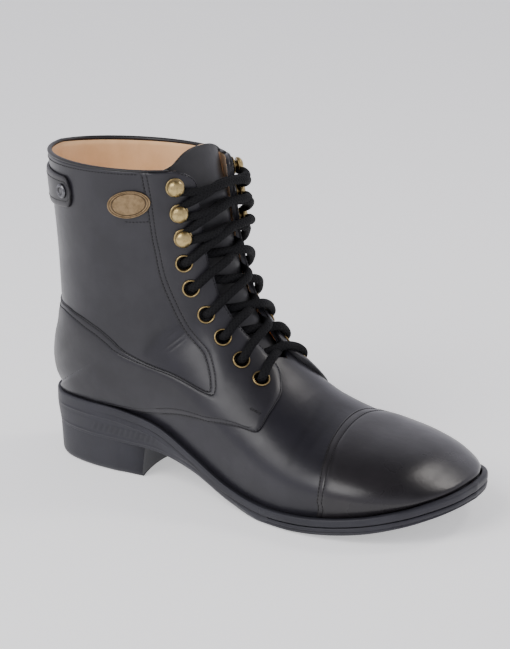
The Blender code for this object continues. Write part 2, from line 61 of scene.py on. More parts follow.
# Edge line over the sole from toe to heel: along, outer, inner, rise, under.
EDGE = np.array([
    (1.000, -0.050, -0.050, 0.650, 0.400), (0.991, -0.205, 0.105, 0.630, 0.385),
    (0.965, -0.332, 0.235, 0.575, 0.325), (0.920, -0.450, 0.340, 0.485, 0.235),
    (0.855, -0.535, 0.404, 0.380, 0.130), (0.775, -0.575, 0.432, 0.290, 0.045),
    (0.700, -0.575, 0.428, 0.245, 0.000), (0.620, -0.544, 0.390, 0.245, 0.000),
    (0.530, -0.484, 0.331, 0.345, 0.130), (0.430, -0.415, 0.278, 0.600, 0.370),
    (0.330, -0.362, 0.273, 0.880, 0.500), (0.230, -0.340, 0.290, 1.000, 0.510),
    (0.130, -0.320, 0.300, 1.020, 0.510), (0.055, -0.255, 0.250, 1.010, 0.510),
    (0.014, -0.140, 0.145, 1.000, 0.510), (0.000, 0.000, 0.000, 1.000, 0.510),
])
# Back seam over the sole: along, foot, shaft.
BACK = np.array([
    (0.000, 0.444, 0.00), (-0.016, 0.530, 0.00), (-0.021, 0.640, 0.00), (-0.015, 0.780, 0.00),
    (-0.004, 0.900, 0.00), (0.001, 1.000, 0.05), (-0.002, 1.000, 0.35), (-0.011, 1.000, 0.69),
    (-0.021, 1.000, 1.00), (-0.024, 1.000, 1.09),
])
# Sections from the toe to over the collar: along, foot, shaft, lean, edge, outer, inner,
# level, round.
SECTIONS = np.array([
    (1.000, 0.289, 0.00, -0.020, 0.000, 0.000, 0.000, 0.75, 2.0),
    (0.999, 0.312, 0.00, -0.020, 0.050, 0.146, 0.095, 0.76, 1.9),
    (0.988, 0.333, 0.00, -0.020, 0.115, 0.285, 0.200, 0.79, 1.8),
    (0.963, 0.380, 0.00, -0.019, 0.185, 0.414, 0.315, 0.80, 1.8),
    (0.920, 0.445, 0.00, -0.010, 0.255, 0.522, 0.395, 0.76, 1.95),
    (0.860, 0.487, 0.00, -0.001, 0.320, 0.580, 0.436, 0.72, 2.2),
    (0.790, 0.525, 0.00, 0.013, 0.380, 0.600, 0.430, 0.70, 2.3),
    (0.715, 0.580, 0.00, 0.030, 0.437, 0.597, 0.400, 0.68, 2.15),
    (0.645, 0.670, 0.00, 0.037, 0.495, 0.565, 0.365, 0.64, 2.0),
    (0.580, 0.800, 0.00, 0.035, 0.555, 0.510, 0.340, 0.60, 1.9),
    (0.525, 0.930, 0.00, 0.027, 0.630, 0.450, 0.345, 0.57, 1.85),
    (0.485, 1.000, 0.09, 0.020, 0.740, 0.412, 0.360, 0.54, 1.9),
    (0.464, 1.000, 0.20, 0.015, 0.865, 0.403, 0.370, 0.53, 1.95),
    (0.448, 1.000, 0.32, 0.010, 1.000, 0.398, 0.378, 0.52, 2.0),
    (0.435, 1.000, 0.45, 0.005, 1.160, 0.396, 0.383, 0.51, 2.0),
    (0.423, 1.000, 0.58, 0.000, 1.320, 0.398, 0.388, 0.50, 2.0),
    (0.414, 1.000, 0.70, 0.000, 1.470, 0.405, 0.397, 0.50, 2.0),
    (0.406, 1.000, 0.81, 0.000, 1.620, 0.414, 0.409, 0.50, 2.0),
    (0.400, 1.000, 0.91, 0.000, 1.760, 0.424, 0.421, 0.50, 2.0),
    (0.394, 1.000, 1.00, 0.000, 1.890, 0.434, 0.433, 0.50, 2.0),
    (0.389, 1.000, 1.09, 0.000, 2.000, 0.442, 0.442, 0.50, 2.0),
])


def through(rows, at):
    """A smooth curve through the rows of a table: between two rows, the cubic that meets
    both with the mean slope of their neighbours."""
    rows = np.asarray(rows, float)
    slopes = np.gradient(rows, axis=0)
    at = np.clip(np.asarray(at, float), 0, len(rows) - 1)
    low = np.minimum(at.astype(int), len(rows) - 2)
    t = (at - low)[..., None]
    return ((1 + 2 * t) * (1 - t) ** 2 * rows[low] + t * (1 - t) ** 2 * slopes[low]
            + t * t * (3 - 2 * t) * rows[low + 1] + t * t * (t - 1) * slopes[low + 1])


def edge_line(share, side, grow=0.0):
    """A point of the edge line, share 0 at the toe and 1 at the heel, side -1 outer and 1
    inner, moved outwards in plan by grow."""
    def plan(at):
        row = through(EDGE, at * (len(EDGE) - 1))
        along = row[..., 0] * LAST_LENGTH - HEEL_CENTRE
        across = np.where(side < 0, row[..., 1], row[..., 2]) * BALL_WIDTH
        return np.stack([along, across, row[..., 3] * SEAT_HEIGHT], -1)
    share, side = np.broadcast_arrays(np.asarray(share, float), np.asarray(side, float))
    step = 1e-4
    run = plan(np.minimum(share + step, 1)) - plan(np.maximum(share - step, 0))
    out = np.stack([run[..., 1] * -side, run[..., 0] * side, 0 * side], -1)
    out /= np.linalg.norm(out, axis=-1, keepdims=True) + 1e-12
    out = np.where(out[..., 1:2] * side[..., None] < 0, -out, out)
    out = np.where((share < step)[..., None], np.array([1.0, 0, 0]), out)
    out = np.where((share > 1 - step)[..., None], np.array([-1.0, 0, 0]), out)
    return plan(share) + np.asarray(grow, float)[..., None] * out


def back_line(share, grow=0.0):
    """A point of the back seam, share 0 at the edge line and 1 above the collar."""
    def plan(at):
        row = through(BACK, at * (len(BACK) - 1))
        height = row[..., 1] * INSTEP_HEIGHT + row[..., 2] * SHAFT_RISE
        return np.stack([row[..., 0] * LAST_LENGTH - HEEL_CENTRE, 0 * height, height], -1)
    share = np.asarray(share, float)
    run = plan(np.minimum(share + 1e-4, 1)) - plan(np.maximum(share - 1e-4, 0))
    out = np.stack([-run[..., 2], 0 * share, run[..., 0]], -1)
    out /= np.linalg.norm(out, axis=-1, keepdims=True)
    return plan(share) + np.asarray(grow, float)[..., None] * out


def last(row, turn, grow=0.0):
    """A point of the boot's outer face, moved outwards by grow. Over its widest place a
    section is a power curve from the ridge; below it the wall falls steeply to the edge
    line, or closes round to the back seam."""
    row, turn, grow = np.broadcast_arrays(*(np.asarray(value, float) for value in (row, turn, grow)))

    def ridge(at):
        r = through(SECTIONS, at)
        height = r[..., 1] * INSTEP_HEIGHT + r[..., 2] * SHAFT_RISE
        return np.stack([r[..., 0] * LAST_LENGTH - HEEL_CENTRE, r[..., 3] * BALL_WIDTH, height], -1), r
    top, r = ridge(row)
    run = ridge(np.minimum(row + 1e-3, len(SECTIONS) - 1))[0] - ridge(np.maximum(row - 1e-3, 0))[0]
    up = np.stack([run[..., 2], 0 * row, -run[..., 0]], -1)
    top = top + grow[..., None] * up / np.linalg.norm(up, axis=-1, keepdims=True)
    side = np.where(turn < 0, -1.0, 1.0)
    edge = r[..., 4]
    foot = edge_line(np.clip(edge, 0, 1), side, grow)
    end = np.where((edge <= 1)[..., None], foot, back_line(np.clip(edge - 1, 0, 1), grow))
    down = end - top
    across = side * down[..., 1]
    down[..., 1] = 0
    wide = np.maximum(np.where(side < 0, r[..., 5], r[..., 6]) * BALL_WIDTH + grow, across)
    level, power = r[..., 7], 2 / r[..., 8]
    a = np.abs(turn)
    first = np.clip(a / level, 0, 1) * np.pi / 2
    second = np.clip((a - level) / (1 - level), 0, 1)
    steep = np.clip((1 - edge) / 0.3, 0, 1)
    bend = second * np.pi / 2
    y = np.where(a < level, wide * np.sin(first) ** power,
                 across + (wide - across) * (steep * (1 - second ** 2) + (1 - steep) * np.cos(bend)))
    q = np.where(a < level, level * (1 - np.cos(first) ** power),
                 level + (1 - level) * (steep * second + (1 - steep) * np.sin(bend)))
    return top + q[..., None] * down + (side * y)[..., None] * np.array([0, 1.0, 0])


# Creases worn into the leather: depth, width, then row and turn of the points they follow.
CREASES = [
    (0.00026, 0.0007, [(11.75, -0.420), (11.83, -0.375), (11.91, -0.340), (12.03, -0.300)]),
    (0.00022, 0.0006, [(11.59, -0.405), (11.67, -0.365), (11.75, -0.330)]),
    (0.00026, 0.0007, [(12.11, -0.375), (12.23, -0.345), (12.31, -0.320)]),
    (0.00016, 0.0007, [(12.39, -0.345), (12.47, -0.315), (12.55, -0.295)]),
    (0.00030, 0.0030, [(12.9, -0.33), (12.6, -0.38), (12.2, -0.43), (11.9, -0.47)]),
    (0.00016, 0.0022, [(7.9, -0.05), (7.5, -0.22), (7.3, -0.40), (7.2, -0.52)]),
    (0.00013, 0.0018, [(7.5, 0.10), (7.2, -0.10), (7.0, -0.28), (6.9, -0.40)]),
    (0.00016, 0.0020, [(8.3, 0.10), (7.9, 0.25), (7.6, 0.42), (7.4, 0.55)]),
    (0.00016, 0.0008, [(6.75, -0.260), (6.55, -0.335), (6.31, -0.420)]),
    (0.00016, 0.0008, [(6.31, -0.270), (6.07, -0.370), (5.75, -0.490)]),
    (0.00025, 0.0040, [(14.4, -0.62), (14.1, -0.75), (14.0, -0.88)]),
    (0.00040, 0.0028, [(14.0, 0.40), (13.6, 0.55), (13.5, 0.70)]),
    (0.00035, 0.0024, [(13.0, 0.38), (12.6, 0.50), (12.4, 0.62)]),
]


def mound(value, middle, wide):
    """The bell curve of a value about its middle."""
    return np.exp(-((value - middle) / wide) ** 2)


def creases(here):
    """How far each point lies in a crease: depth times the bell curve of the distance to
    it over its width, fading towards its two ends."""
    flat = here.reshape(-1, 3)
    deep = np.zeros(len(flat))
    for depth, wide, path in CREASES:
        path = np.array(path)
        at = through(path, np.linspace(0, len(path) - 1, 48))
        line = last(at[:, 0], at[:, 1])
        near = np.nonzero(np.all((flat > line.min(0) - 3 * wide) & (flat < line.max(0) + 3 * wide), 1))[0]
        if len(near):
            gap = np.linalg.norm(flat[near][:, None] - line[None], axis=2)
            pick = gap.argmin(1)
            fade = np.sin(np.pi * np.clip(pick / 47, 0.01, 0.99)) ** 0.6
            deep[near] += depth * fade * mound(gap.min(1), 0, wide)
    return deep.reshape(here.shape[:-1])


def creased(row, turn):
    """How dark each point is painted for lying in a crease, as painted shade: 1 where that is CREASE_FULL deep.
    """
    return creases(last(row, turn)) / CREASE_FULL


def relief(row, turn):
    """Soft swells and creases as a height, none at the hardware, the collar and the sole."""
    here = last(row, turn)
    x, y, z = here[..., 0], here[..., 1], here[..., 2]
    swell = np.sin(61 * x + 38 * z + 1.0) + np.sin(94 * z - 47 * y + 2.1) + np.sin(83 * x + 71 * y - 0.4)
    a = np.abs(turn)
    calm = np.where(row < 8.2, 1.0, np.clip((a - 0.26) / 0.10, 0, 1))
    calm = calm * np.clip((18.2 - row) / 1.5, 0, 1) * np.clip((0.97 - a) / 0.1, 0, 1)
    return (swell * SWELL - creases(here)) * calm


def dipped(row, turn):
    """The row of a leather face near the collar, which dips on the inner side: less by a
    bell over that side, growing from row 17 to the rim."""
    dip = np.where(turn > 0, np.sin(np.pi * np.clip(turn, 0, 1)) ** 0.8, 0.0)
    return row - COLLAR_DIP * np.clip((row - 17.0) / 2.0, 0, 1) ** 2 * dip


def skin(row, turn, grow):
    """A point of a leather face at grow over the last, with its swells and creases."""
    row, turn = np.broadcast_arrays(np.asarray(row, float), np.asarray(turn, float))
    row = dipped(row, turn)
    return last(row, turn, grow + relief(row, turn))


def spot(row, turn, grow):
    """A frame on the last with Z straight out of it and X towards the ridge."""
    here = last(row, turn, grow)
    ahead = last(row + 0.02, turn, grow) - last(row - 0.02, turn, grow)
    aside = last(row, turn + 0.002, grow) - last(row, turn - 0.002, grow)
    out = np.cross(aside, ahead)
    out /= np.linalg.norm(out)
    if np.dot(last(row, turn, grow + 0.001) - here, out) < 0:
        out = -out
    aside = -np.sign(turn) * aside if turn else aside
    aside = aside - np.dot(aside, out) * out
    aside /= np.linalg.norm(aside)
    return np.column_stack([aside, np.cross(out, aside), out]), here


# Row and turn of the eyelets and hooks, from the top one down.
EYELETS = np.array([
    (14.87, 0.235), (13.75, 0.235), (12.31, 0.220), (11.07, 0.225), (10.23, 0.225), (9.42, 0.215)])
HOOKS = np.array([(18.25, 0.225), (17.13, 0.225), (16.01, 0.225)])
BORES = [spot(row, side * turn, LAYER) for side in (-1, 1) for row, turn in EYELETS]
# A line through the middle of the foot: a skin faces away from it or towards it.
AXIS = np.array([
    (0.02, 0.0, 0.19), (0.02, 0.0, 0.10), (0.035, 0.0, 0.06), (0.10, -0.002, 0.035), (0.20, -0.003, 0.028)])


def piece(name, sheets, look, slot, nodes=(), facing="solid", bores=(), uv=None, **marks):
    """A mesh from grids of points, joined where they meet, riding on the boot. facing is
    solid for a closed form, out for a skin that faces away from the foot and in for one
    that faces it. Every bore is a round hole. marks are point attributes, a list each
    with one value or grid per sheet."""
    points, quads, start = [], [], 0
    for sheet in sheets:
        rows, columns = sheet.shape[:2]
        number = start + np.arange(rows * columns).reshape(rows, columns)
        corners = [number[:-1, :-1], number[:-1, 1:], number[1:, 1:], number[1:, :-1]]
        quads.append(np.stack(corners, -1).reshape(-1, 4))
        points.append(sheet.reshape(-1, 3))
        start += rows * columns
    points, quads = np.concatenate(points), np.concatenate(quads)
    mesh = bpy.data.meshes.new(name)
    mesh.from_pydata(points.tolist(), [], quads.tolist())
    for key, values in marks.items():
        layer = mesh.attributes.new(key, "FLOAT", "POINT")
        flat = [np.broadcast_to(value, sheet.shape[:2]).ravel() for value, sheet in zip(values, sheets)]
        layer.data.foreach_set("value", np.concatenate(flat).astype(np.float32))
    if uv is not None:
        flat = np.concatenate([u.reshape(-1, 2) for u in uv])[quads.ravel()]
        mesh.uv_layers.new(name="weave").data.foreach_set("uv", flat.astype(np.float32).ravel())
    work = bmesh.new()
    work.from_mesh(mesh)
    bmesh.ops.remove_doubles(work, verts=work.verts, dist=3e-6)
    bmesh.ops.dissolve_degenerate(work, edges=work.edges, dist=3e-6)
    bmesh.ops.recalc_face_normals(work, faces=work.faces)
    if facing != "solid":
        centres = np.array([f.calc_center_median()[:] for f in work.faces])
        normals = np.array([f.normal[:] for f in work.faces])
        normals = normals * np.array([f.calc_area() for f in work.faces])[:, None]
        line = through(AXIS, np.linspace(0, len(AXIS) - 1, 40))
        near = line[np.linalg.norm(centres[:, None] - line[None], axis=2).argmin(1)]
        if (np.sum(normals * (centres - near)) < 0) == (facing == "out"):
            bmesh.ops.reverse_faces(work, faces=work.faces)
    if len(bores):
        work.verts.ensure_lookup_table()
        place = np.array([v.co[:] for v in work.verts])
        gone = set()
        for turned_to, centre in bores:
            local = (place - centre) @ turned_to
            radius = np.hypot(local[:, 0], local[:, 1])
            near = np.nonzero((radius < BORE_PULL) & (np.abs(local[:, 2]) < BORE_REACH))[0]
            for i in near:
                if radius[i] < BORE_CUT:
                    gone.add(int(i))
                else:
                    local[i, :2] *= BORE / radius[i]
                    work.verts[int(i)].co = Vector(turned_to @ local[i] + centre)
        bmesh.ops.delete(work, geom=[work.verts[i] for i in gone], context="VERTS")
    work.to_mesh(mesh)
    work.free()
    mesh.shade_smooth()
    item = bpy.data.objects.new(name, mesh)
    bpy.context.scene.collection.objects.link(item)
    mesh.materials.append(look)
    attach(item, "root")
    if nodes:
        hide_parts(*nodes)
    return item


class Wire:
    """A value on its way through a material: sums and products of it become Math nodes."""

    def __init__(self, paint, socket):
        self.paint, self.socket = paint, socket

    def math(self, kind, *values):
        return self.paint.node("ShaderNodeMath", {"operation": kind}, *values)

    def __add__(self, other):
        return self.math("ADD", self, other)

    def __sub__(self, other):
        return self.math("SUBTRACT", self, other)

    def __rsub__(self, other):
        return self.math("SUBTRACT", other, self)

    def __mul__(self, other):
        return self.math("MULTIPLY", self, other)

    __radd__, __rmul__ = __add__, __mul__

    def ramp(self, low, high):
        """0 below low, 1 above high and a smooth step between them."""
        return self.paint.node("ShaderNodeMapRange", {"interpolation_type": "SMOOTHSTEP"}, self, low, high,
                               0.0, 1.0)


class Paint:
    """A Principled material under construction."""

    def __init__(self, name, **fixed):
        self.made = bpy.data.materials.new(name)
        self.made.use_nodes = True
        self.tree = self.made.node_tree
        self.shader = self.tree.nodes["Principled BSDF"]
        for key, value in fixed.items():
            self.shader.inputs[key.replace("_", " ")].default_value = value
        self.place = self.node("ShaderNodeTexCoord", {}, out="Object")

    def node(self, kind, settings, *values, out=0, **named):
        """A node of that type with its settings, values or links put on its sockets in
        order or by name, and one output as a Wire."""
        made = self.tree.nodes.new(kind)
        for key, value in settings.items():
            setattr(made, key, value)
        for key, value in list(enumerate(values)) + [(k.replace("_", " "), v) for k, v in named.items()]:
            if value is None:
                continue
            if isinstance(value, Wire):
                self.tree.links.new(value.socket, made.inputs[key])
            else:
                made.inputs[key].default_value = value
        return Wire(self, made.outputs[out])

    def noise(self, scale, detail=3.0, roughness=0.55, at=None):
        return self.node("ShaderNodeTexNoise", {}, Vector=at or self.place, Scale=scale, Detail=detail,
                         Roughness=roughness)

    def cells(self, scale, feature="F1"):
        return self.node("ShaderNodeTexVoronoi", {"feature": feature}, out="Distance", Vector=self.place,
                         Scale=scale)

    def stretch(self, x, y, z):
        return self.node("ShaderNodeVectorMath", {"operation": "MULTIPLY"}, self.place, (x, y, z))

    def mark(self, name):
        return self.node("ShaderNodeAttribute", {"attribute_name": name}, out="Fac")

    def mix(self, factor, one, two):
        """Colour one where factor is 0 and colour two where it is 1."""
        made = self.tree.nodes.new("ShaderNodeMix")
        made.data_type = "RGBA"
        made.clamp_factor = True
        for key, value in ((0, factor), (6, one), (7, two)):
            if isinstance(value, Wire):
                self.tree.links.new(value.socket, made.inputs[key])
            else:
                made.inputs[key].default_value = (*value, 1) if key else value
        return Wire(self, made.outputs[2])

    def bump(self, height, distance, strength=1.0, under=None):
        """A normal from a height of 0 to 1 as relief of that many metres, over another one."""
        return self.node("ShaderNodeBump", {}, Strength=strength, Distance=distance, Height=height,
                         Normal=under)

    def done(self, **varying):
        for key, wire in varying.items():
            self.tree.links.new(wire.socket, self.shader.inputs[key.replace("_", " ")])
        return self.made


def leather(name, dark, light, rub, rough, grain=1.0):
    """Smooth black calf: fine cells and pores for grain, cloudy tone, faint scuffs, paler where
    worn and as a painted highlight band between seam rows (its wear mark), and darker as
    painted shade in creases, stitch rows and along cut edges (its shade mark)."""
    paint = Paint(name, Specular_IOR_Level=0.36, Coat_Roughness=0.28, Coat_IOR=1.45)
    tone = paint.noise(17, 4, 0.6).ramp(0.30, 0.70)
    cloud = paint.noise(55, 3, 0.55).ramp(0.35, 0.68)
    scuff = paint.noise(90, 3, 0.5, paint.stretch(1.0, 1.0, 0.45)).ramp(0.45, 0.95)
    wear, crease = paint.mark("wear"), paint.mark("crease")
    fray = paint.noise(420, 4, 0.7).ramp(0.38, 0.66)
    colour = paint.mix(tone * 0.65 + cloud * 0.35, dark, light)
    colour = paint.mix(scuff * 0.07, colour, rub)
    # Paler where worn, and a painted highlight in the band between two rows of stitches.
    colour = paint.mix(wear * (fray * 0.55 + 0.25), colour, rub)
    # Painted shade: darker in creases, stitch rows, along cut edges and on edge walls.
    colour = paint.mix(crease * 0.75, colour, tuple(0.45 * c for c in dark))
    cells = paint.cells(1250)
    pores = paint.cells(760, "DISTANCE_TO_EDGE").ramp(0.0, 0.09)
    fine = paint.noise(2600, 2, 0.5)
    tooth = cells * 0.6 + pores * 0.10 + fine * 0.4
    normal = paint.bump(tooth, 0.00004 * grain, 0.6)
    normal = paint.bump(paint.noise(240, 3, 0.5), 0.00010, 0.5, normal)
    normal = paint.bump(paint.noise(70, 2, 0.5), 0.00035, 0.35, normal)
    roughness = rough + tone * 0.07 + wear * 0.05 - cloud * 0.04
    return paint.done(Base_Color=colour, Roughness=roughness, Normal=normal, Coat_Weight=0.13 + cloud * 0.05)


CALF = leather("black_calf", (0.0115, 0.0110, 0.0145), (0.0195, 0.0187, 0.0238), (0.062, 0.058, 0.060), 0.33)
# Row and turn of the edge of the throat, from its rounded foot to the collar.
THROAT = np.array([
    (9.50, 0.000), (9.80, 0.075), (10.30, 0.105), (11.00, 0.125), (13.00, 0.140), (15.00, 0.145),
    (17.60, 0.132), (18.20, 0.136), (18.60, 0.150), (18.85, 0.175), (19.00, 0.205),
])


def halves(rows, across, grow, lip):
    """Both halves of the boot's body at grow, with its edges at the throat and the collar
    turned to the level lip, and how dark each point is painted for lying in a crease, as painted shade."""
    row = np.repeat(rows[:, None], across + 1, 1)
    gap = np.interp(rows, THROAT[:, 0], THROAT[:, 1])[:, None]
    share = np.linspace(0, 1, across + 1)[None]
    sheets, deep = [], []
    for side in (-1, 1):
        turn = side * np.maximum(gap + (1 - gap) * share, 1e-9)
        face = skin(row, turn, grow)
        face[0] = face[0, 0]
        open_rows = rows >= THROAT[0, 0]
        inner = skin(row[open_rows, 0], turn[open_rows, 0], lip)
        rim = skin(row[-1], turn[-1], lip)
        sheets += [face, np.stack([face[open_rows, 0], inner]), np.stack([face[-1], rim])]
        # Painted shade in the creases; none on the throat and collar edges.
        deep += [np.clip(creased(row, turn), 0, 1), 0.0, 0.0]
    return sheets, deep


rows = [np.linspace(0, 11.3, 130), np.linspace(11.34, 12.8, 42), np.linspace(12.86, COLLAR_ROW, 96)]
sheets, deep = halves(np.concatenate(rows), 120, 0.0, -WALL)
piece("upper_leather", sheets, CALF, "leather", ["upper"], "out", BORES, wear=[0.0] * 6, crease=deep)


# ---- Lining ---------------------------------------------------------------------------
# The tan leather inside the boot, glued to the upper, with a soft nap. It is one skin at
# the inner face of the wall, seen through the collar.
def nap(name, dark, light):
    """Unfinished tan leather: mottled, with a fine nap and paler rubbed places, darker as
    painted shade in creases and towards the insole's sides, and darker on the tongue's top edge.
    """
    paint = Paint(name, Specular_IOR_Level=0.25, Sheen_Weight=0.25, Sheen_Roughness=0.5)
    tone = paint.noise(26, 4, 0.6).ramp(0.28, 0.72)
    fleck = paint.noise(900, 3, 0.7)
    colour = paint.mix(tone * 0.8 + fleck * 0.25, dark, light)
    # Painted shade: darker in creases and towards the insole's sides; a darker top edge on the tongue.
    colour = paint.mix(paint.mark("crease"), colour, tuple(0.35 * c for c in dark))
    normal = paint.bump(fleck, 0.00012, 0.6)
    normal = paint.bump(paint.noise(160, 3, 0.5), 0.0002, 0.5, normal)
    return paint.done(Base_Color=colour, Roughness=0.78 + fleck * 0.14, Normal=normal)


TAN = nap("tan_lining", (0.78, 0.47, 0.23), (0.96, 0.63, 0.34))
sheets, deep = halves(np.linspace(1.0, COLLAR_ROW, 130), 70, -WALL, 0.0002 - WALL)
# The lining is darkened in the same creases as the upper: painted shade.
piece("lining", sheets, TAN, "tan_lining", (), "in", BORES, crease=deep)


# ---- Toe cap --------------------------------------------------------------------------
# A second layer of calf over the toes with a folded edge, held by two rows of stitches.
# Its seam is a row number at even steps of the turn from -1 to 1.
CAP_SEAM = np.array([5.42, 5.55, 5.88, 6.31, 6.74, 6.96, 6.74, 6.31, 5.88, 5.55, 5.42])[:, None]
CAP_ROWS = (0.0006, 0.0033)
TOE_ROW = 0.02
# Distances from an edge at which a layer of calf has its closest lines.
NEAR = np.array([0, 0.00012, 0.0003, 0.0006, 0.0009, 0.0012, 0.0015, 0.0018, 0.0022, 0.0026, 0.0030, 0.0034,
                 0.0038, 0.0042, 0.0046, 0.0052, 0.0060])


def spaced(size, count, start, end):
    """Shares from 0 to 1 over strips of those sizes, with lines at set distances from the
    first and the last and count even steps between."""
    one = np.asarray(start)[None] / size[:, None]
    two = 1 - np.asarray(end)[::-1][None] / size[:, None]
    even = np.linspace(0, 1, count)[1:-1][None]
    return np.concatenate([one, one[:, -1:] + (two[:, :1] - one[:, -1:]) * even, two], 1)


def lengths(points):
    """Length of each line of points."""
    return np.linalg.norm(np.diff(points, axis=1), axis=2).sum(1)


def folded(gap, thick=0.0014):
    """Height of a folded edge over its level: a quarter circle down at the edge."""
    t = np.clip(1 - gap / thick, 0, 1)
    return -thick * (1 - np.sqrt(1 - t * t))


def seam(gap, rows, deep=0.00024, wide=0.00036, rise=0.00003):
    """Height over a seam: a trough at each row of stitches and a low ridge between."""
    height = 0 * gap
    for at in rows:
        height = height - deep * mound(gap, at, wide)
    if len(rows) == 2:
        height = height + rise * mound(gap, sum(rows) / 2, 0.28 * (rows[1] - rows[0]))
    return height


def cap_reach(turn):
    """How many rows the cap reaches back from the toe at each turn, and that way's length."""
    reach = through(CAP_SEAM, (turn + 1) * 5)[:, 0] - TOE_ROW
    share = np.linspace(0, 1, 40)[None]
    return reach, lengths(last(TOE_ROW + reach[:, None] * share, turn[:, None] + 0 * share))


turn = np.linspace(-0.985, 0.985, 185)
reach, size = cap_reach(turn)
share = spaced(size, 74, [0.0], NEAR)
row, turn = TOE_ROW + reach[:, None] * share, turn[:, None] + 0 * share
gap = (1 - share) * size[:, None]
level = LAYER - 0.0003 - 0.0010 * mound(gap, 0, 0.004)
face = skin(row, turn, level + folded(gap, 0.0005) + seam(gap, CAP_ROWS))
under = skin(row[:, -2:], turn[:, -2:], 0.0001)
skirt = np.stack([face[:, -1], under[:, 1]])
CALF_CAP = leather(
    "toe_cap_calf", (0.0118, 0.0108, 0.0122), (0.0200, 0.0180, 0.0200), (0.064, 0.057, 0.054), 0.29, 0.8)
# Painted shade along the cap's edge and both stitch rows, in the creases and on the skirt under the edge.
seam_shade = mound(gap, 0, 0.0003) + sum(mound(gap, at, 0.0004) for at in CAP_ROWS)
seam_and_crease_shade = np.clip(creased(row, turn), 0, 1) + seam_shade
# Paler where the cap's folded edge is worn.
wear_and_highlight_band = 0.5 * mound(gap, 0.0006, 0.0005)
piece("toe_cap_leather", [face, skirt], CALF_CAP, "leather", ["toe_cap"], "out",
      wear=[wear_and_highlight_band, 0.0], crease=[seam_and_crease_shade, 1.0])


# ---- Quarters -------------------------------------------------------------------------
# The facing with the eyelets, the ankle band and the counter in one layer of calf a side,
# with folded edges. Inner and outer line as row and turn; their lower end goes behind the
# sole.
QUARTER_INNER = np.array([
    (19.00, 0.334), (17.90, 0.331), (16.60, 0.328), (14.80, 0.319), (13.30, 0.309), (12.20, 0.308),
    (11.10, 0.326), (10.74, 0.347), (10.48, 0.376), (10.34, 0.398), (10.26, 0.414), (10.21, 0.426),
    (10.19, 0.438), (10.32, 0.455), (10.62, 0.471), (11.35, 0.490), (12.15, 0.492), (13.00, 0.501),
    (13.71, 0.520), (14.43, 0.556), (15.30, 0.630), (16.15, 0.726), (16.60, 0.850), (16.75, 0.997),
])
QUARTER_OUTER = np.array([
    (19.00, 0.215), (18.55, 0.150), (17.60, 0.136), (15.00, 0.149), (13.35, 0.147), (12.00, 0.140),
    (10.87, 0.128), (10.15, 0.092), (9.43, 0.095), (8.99, 0.140), (8.70, 0.200), (8.56, 0.310),
    (8.52, 0.420), (9.02, 0.470), (9.52, 0.535), (9.93, 0.630), (10.25, 0.740), (10.50, 0.850),
    (10.80, 0.950), (11.40, 0.985), (12.20, 0.985), (12.90, 0.985), (13.03, 0.990), (13.10, 0.997),
])
INNER_ROWS, OUTER_ROWS = (0.0007, 0.0033), (0.0008, 0.0044)


def band(at, share):
    """Row and turn on a quarter: at counts along its two lines, share goes across."""
    one, two = through(QUARTER_INNER, at), through(QUARTER_OUTER, at)
    both = one * (1 - share[..., None]) + two * share[..., None]
    return both[..., 0], np.minimum(both[..., 1], 0.997)


def band_size(at):
    """Width of a quarter in metres along it."""
    share = np.linspace(0, 1, 30)[None] + 0 * at[:, None]
    row, turn = band(at[:, None] + 0 * share, share)
    return lengths(last(row, -turn))


def borders(face, low):
    """Strips that join the four borders of two grids."""
    return [np.stack([face[i], low[i]]) for i in (np.s_[:, 0], np.s_[:, -1], np.s_[0], np.s_[-1])]


CALF_QUARTER = leather(
    "quarter_calf", (0.0118, 0.0112, 0.0142), (0.0195, 0.0187, 0.0230), (0.062, 0.057, 0.058), 0.38)
at = np.linspace(0, len(QUARTER_INNER) - 1, 400)
size = band_size(at)
share = spaced(size, 40, NEAR, NEAR)
row, turn = band(at[:, None] + 0 * share, share)
gap_in, gap_out = share * size[:, None], (1 - share) * size[:, None]
gap_top = np.clip(at / 12, 0, 1)[:, None] * 0.12 + 0 * share
thin_in, thin_out = 0.0013 * mound(gap_in, 0, 0.0045), 0.0006 * mound(gap_out, 0, 0.0028)
level = LAYER - thin_in - thin_out + folded(gap_in, 0.0004) + folded(gap_out, 0.0007) + folded(gap_top)
single = np.clip(1 - (at - 11.6) / 0.6, 0, 1)[:, None]
level = level + seam(gap_in, INNER_ROWS) + seam(gap_out, OUTER_ROWS[:1])
level = level + (1 - single) * seam(gap_out, OUTER_ROWS[1:])
# Painted shade along the stitch rows.
seam_shade = sum(mound(gap_in, g, 0.0004) for g in INNER_ROWS) + mound(gap_out, OUTER_ROWS[0], 0.0003)
seam_shade = seam_shade + (1 - single) * mound(gap_out, OUTER_ROWS[1], 0.0003)
# Painted shade along both cut edges; the edge walls below are darkened too.
edges = mound(gap_in, 0, 0.0003) + mound(gap_out, 0, 0.0003)
# A painted highlight band between the two rows of stitches along the vamp seam.
wear_and_highlight_band = 0.35 * mound(gap_out, 0.0025, 0.0009) * np.clip((at - 12) / 1.0, 0, 1)[:, None]
for name, side in (("quarter_outer", -1), ("quarter_inner", 1)):
    corner = 0.0018 * (side > 0) * mound(at[:, None], 8.5, 1.5) * mound(gap_out, 0, 0.012)
    face = skin(row, side * turn, level + corner)
    low = skin(row, side * turn, 0.0001)
    seam_and_crease_shade = np.clip(creased(row, side * turn) + seam_shade + edges, 0, 1)
    piece(name + "_leather", [face] + borders(face, low), CALF_QUARTER, "leather", [name], "out", BORES,
          wear=[wear_and_highlight_band, 0, 0, 0, 0], crease=[seam_and_crease_shade, 1, 1, 0.3, 1])


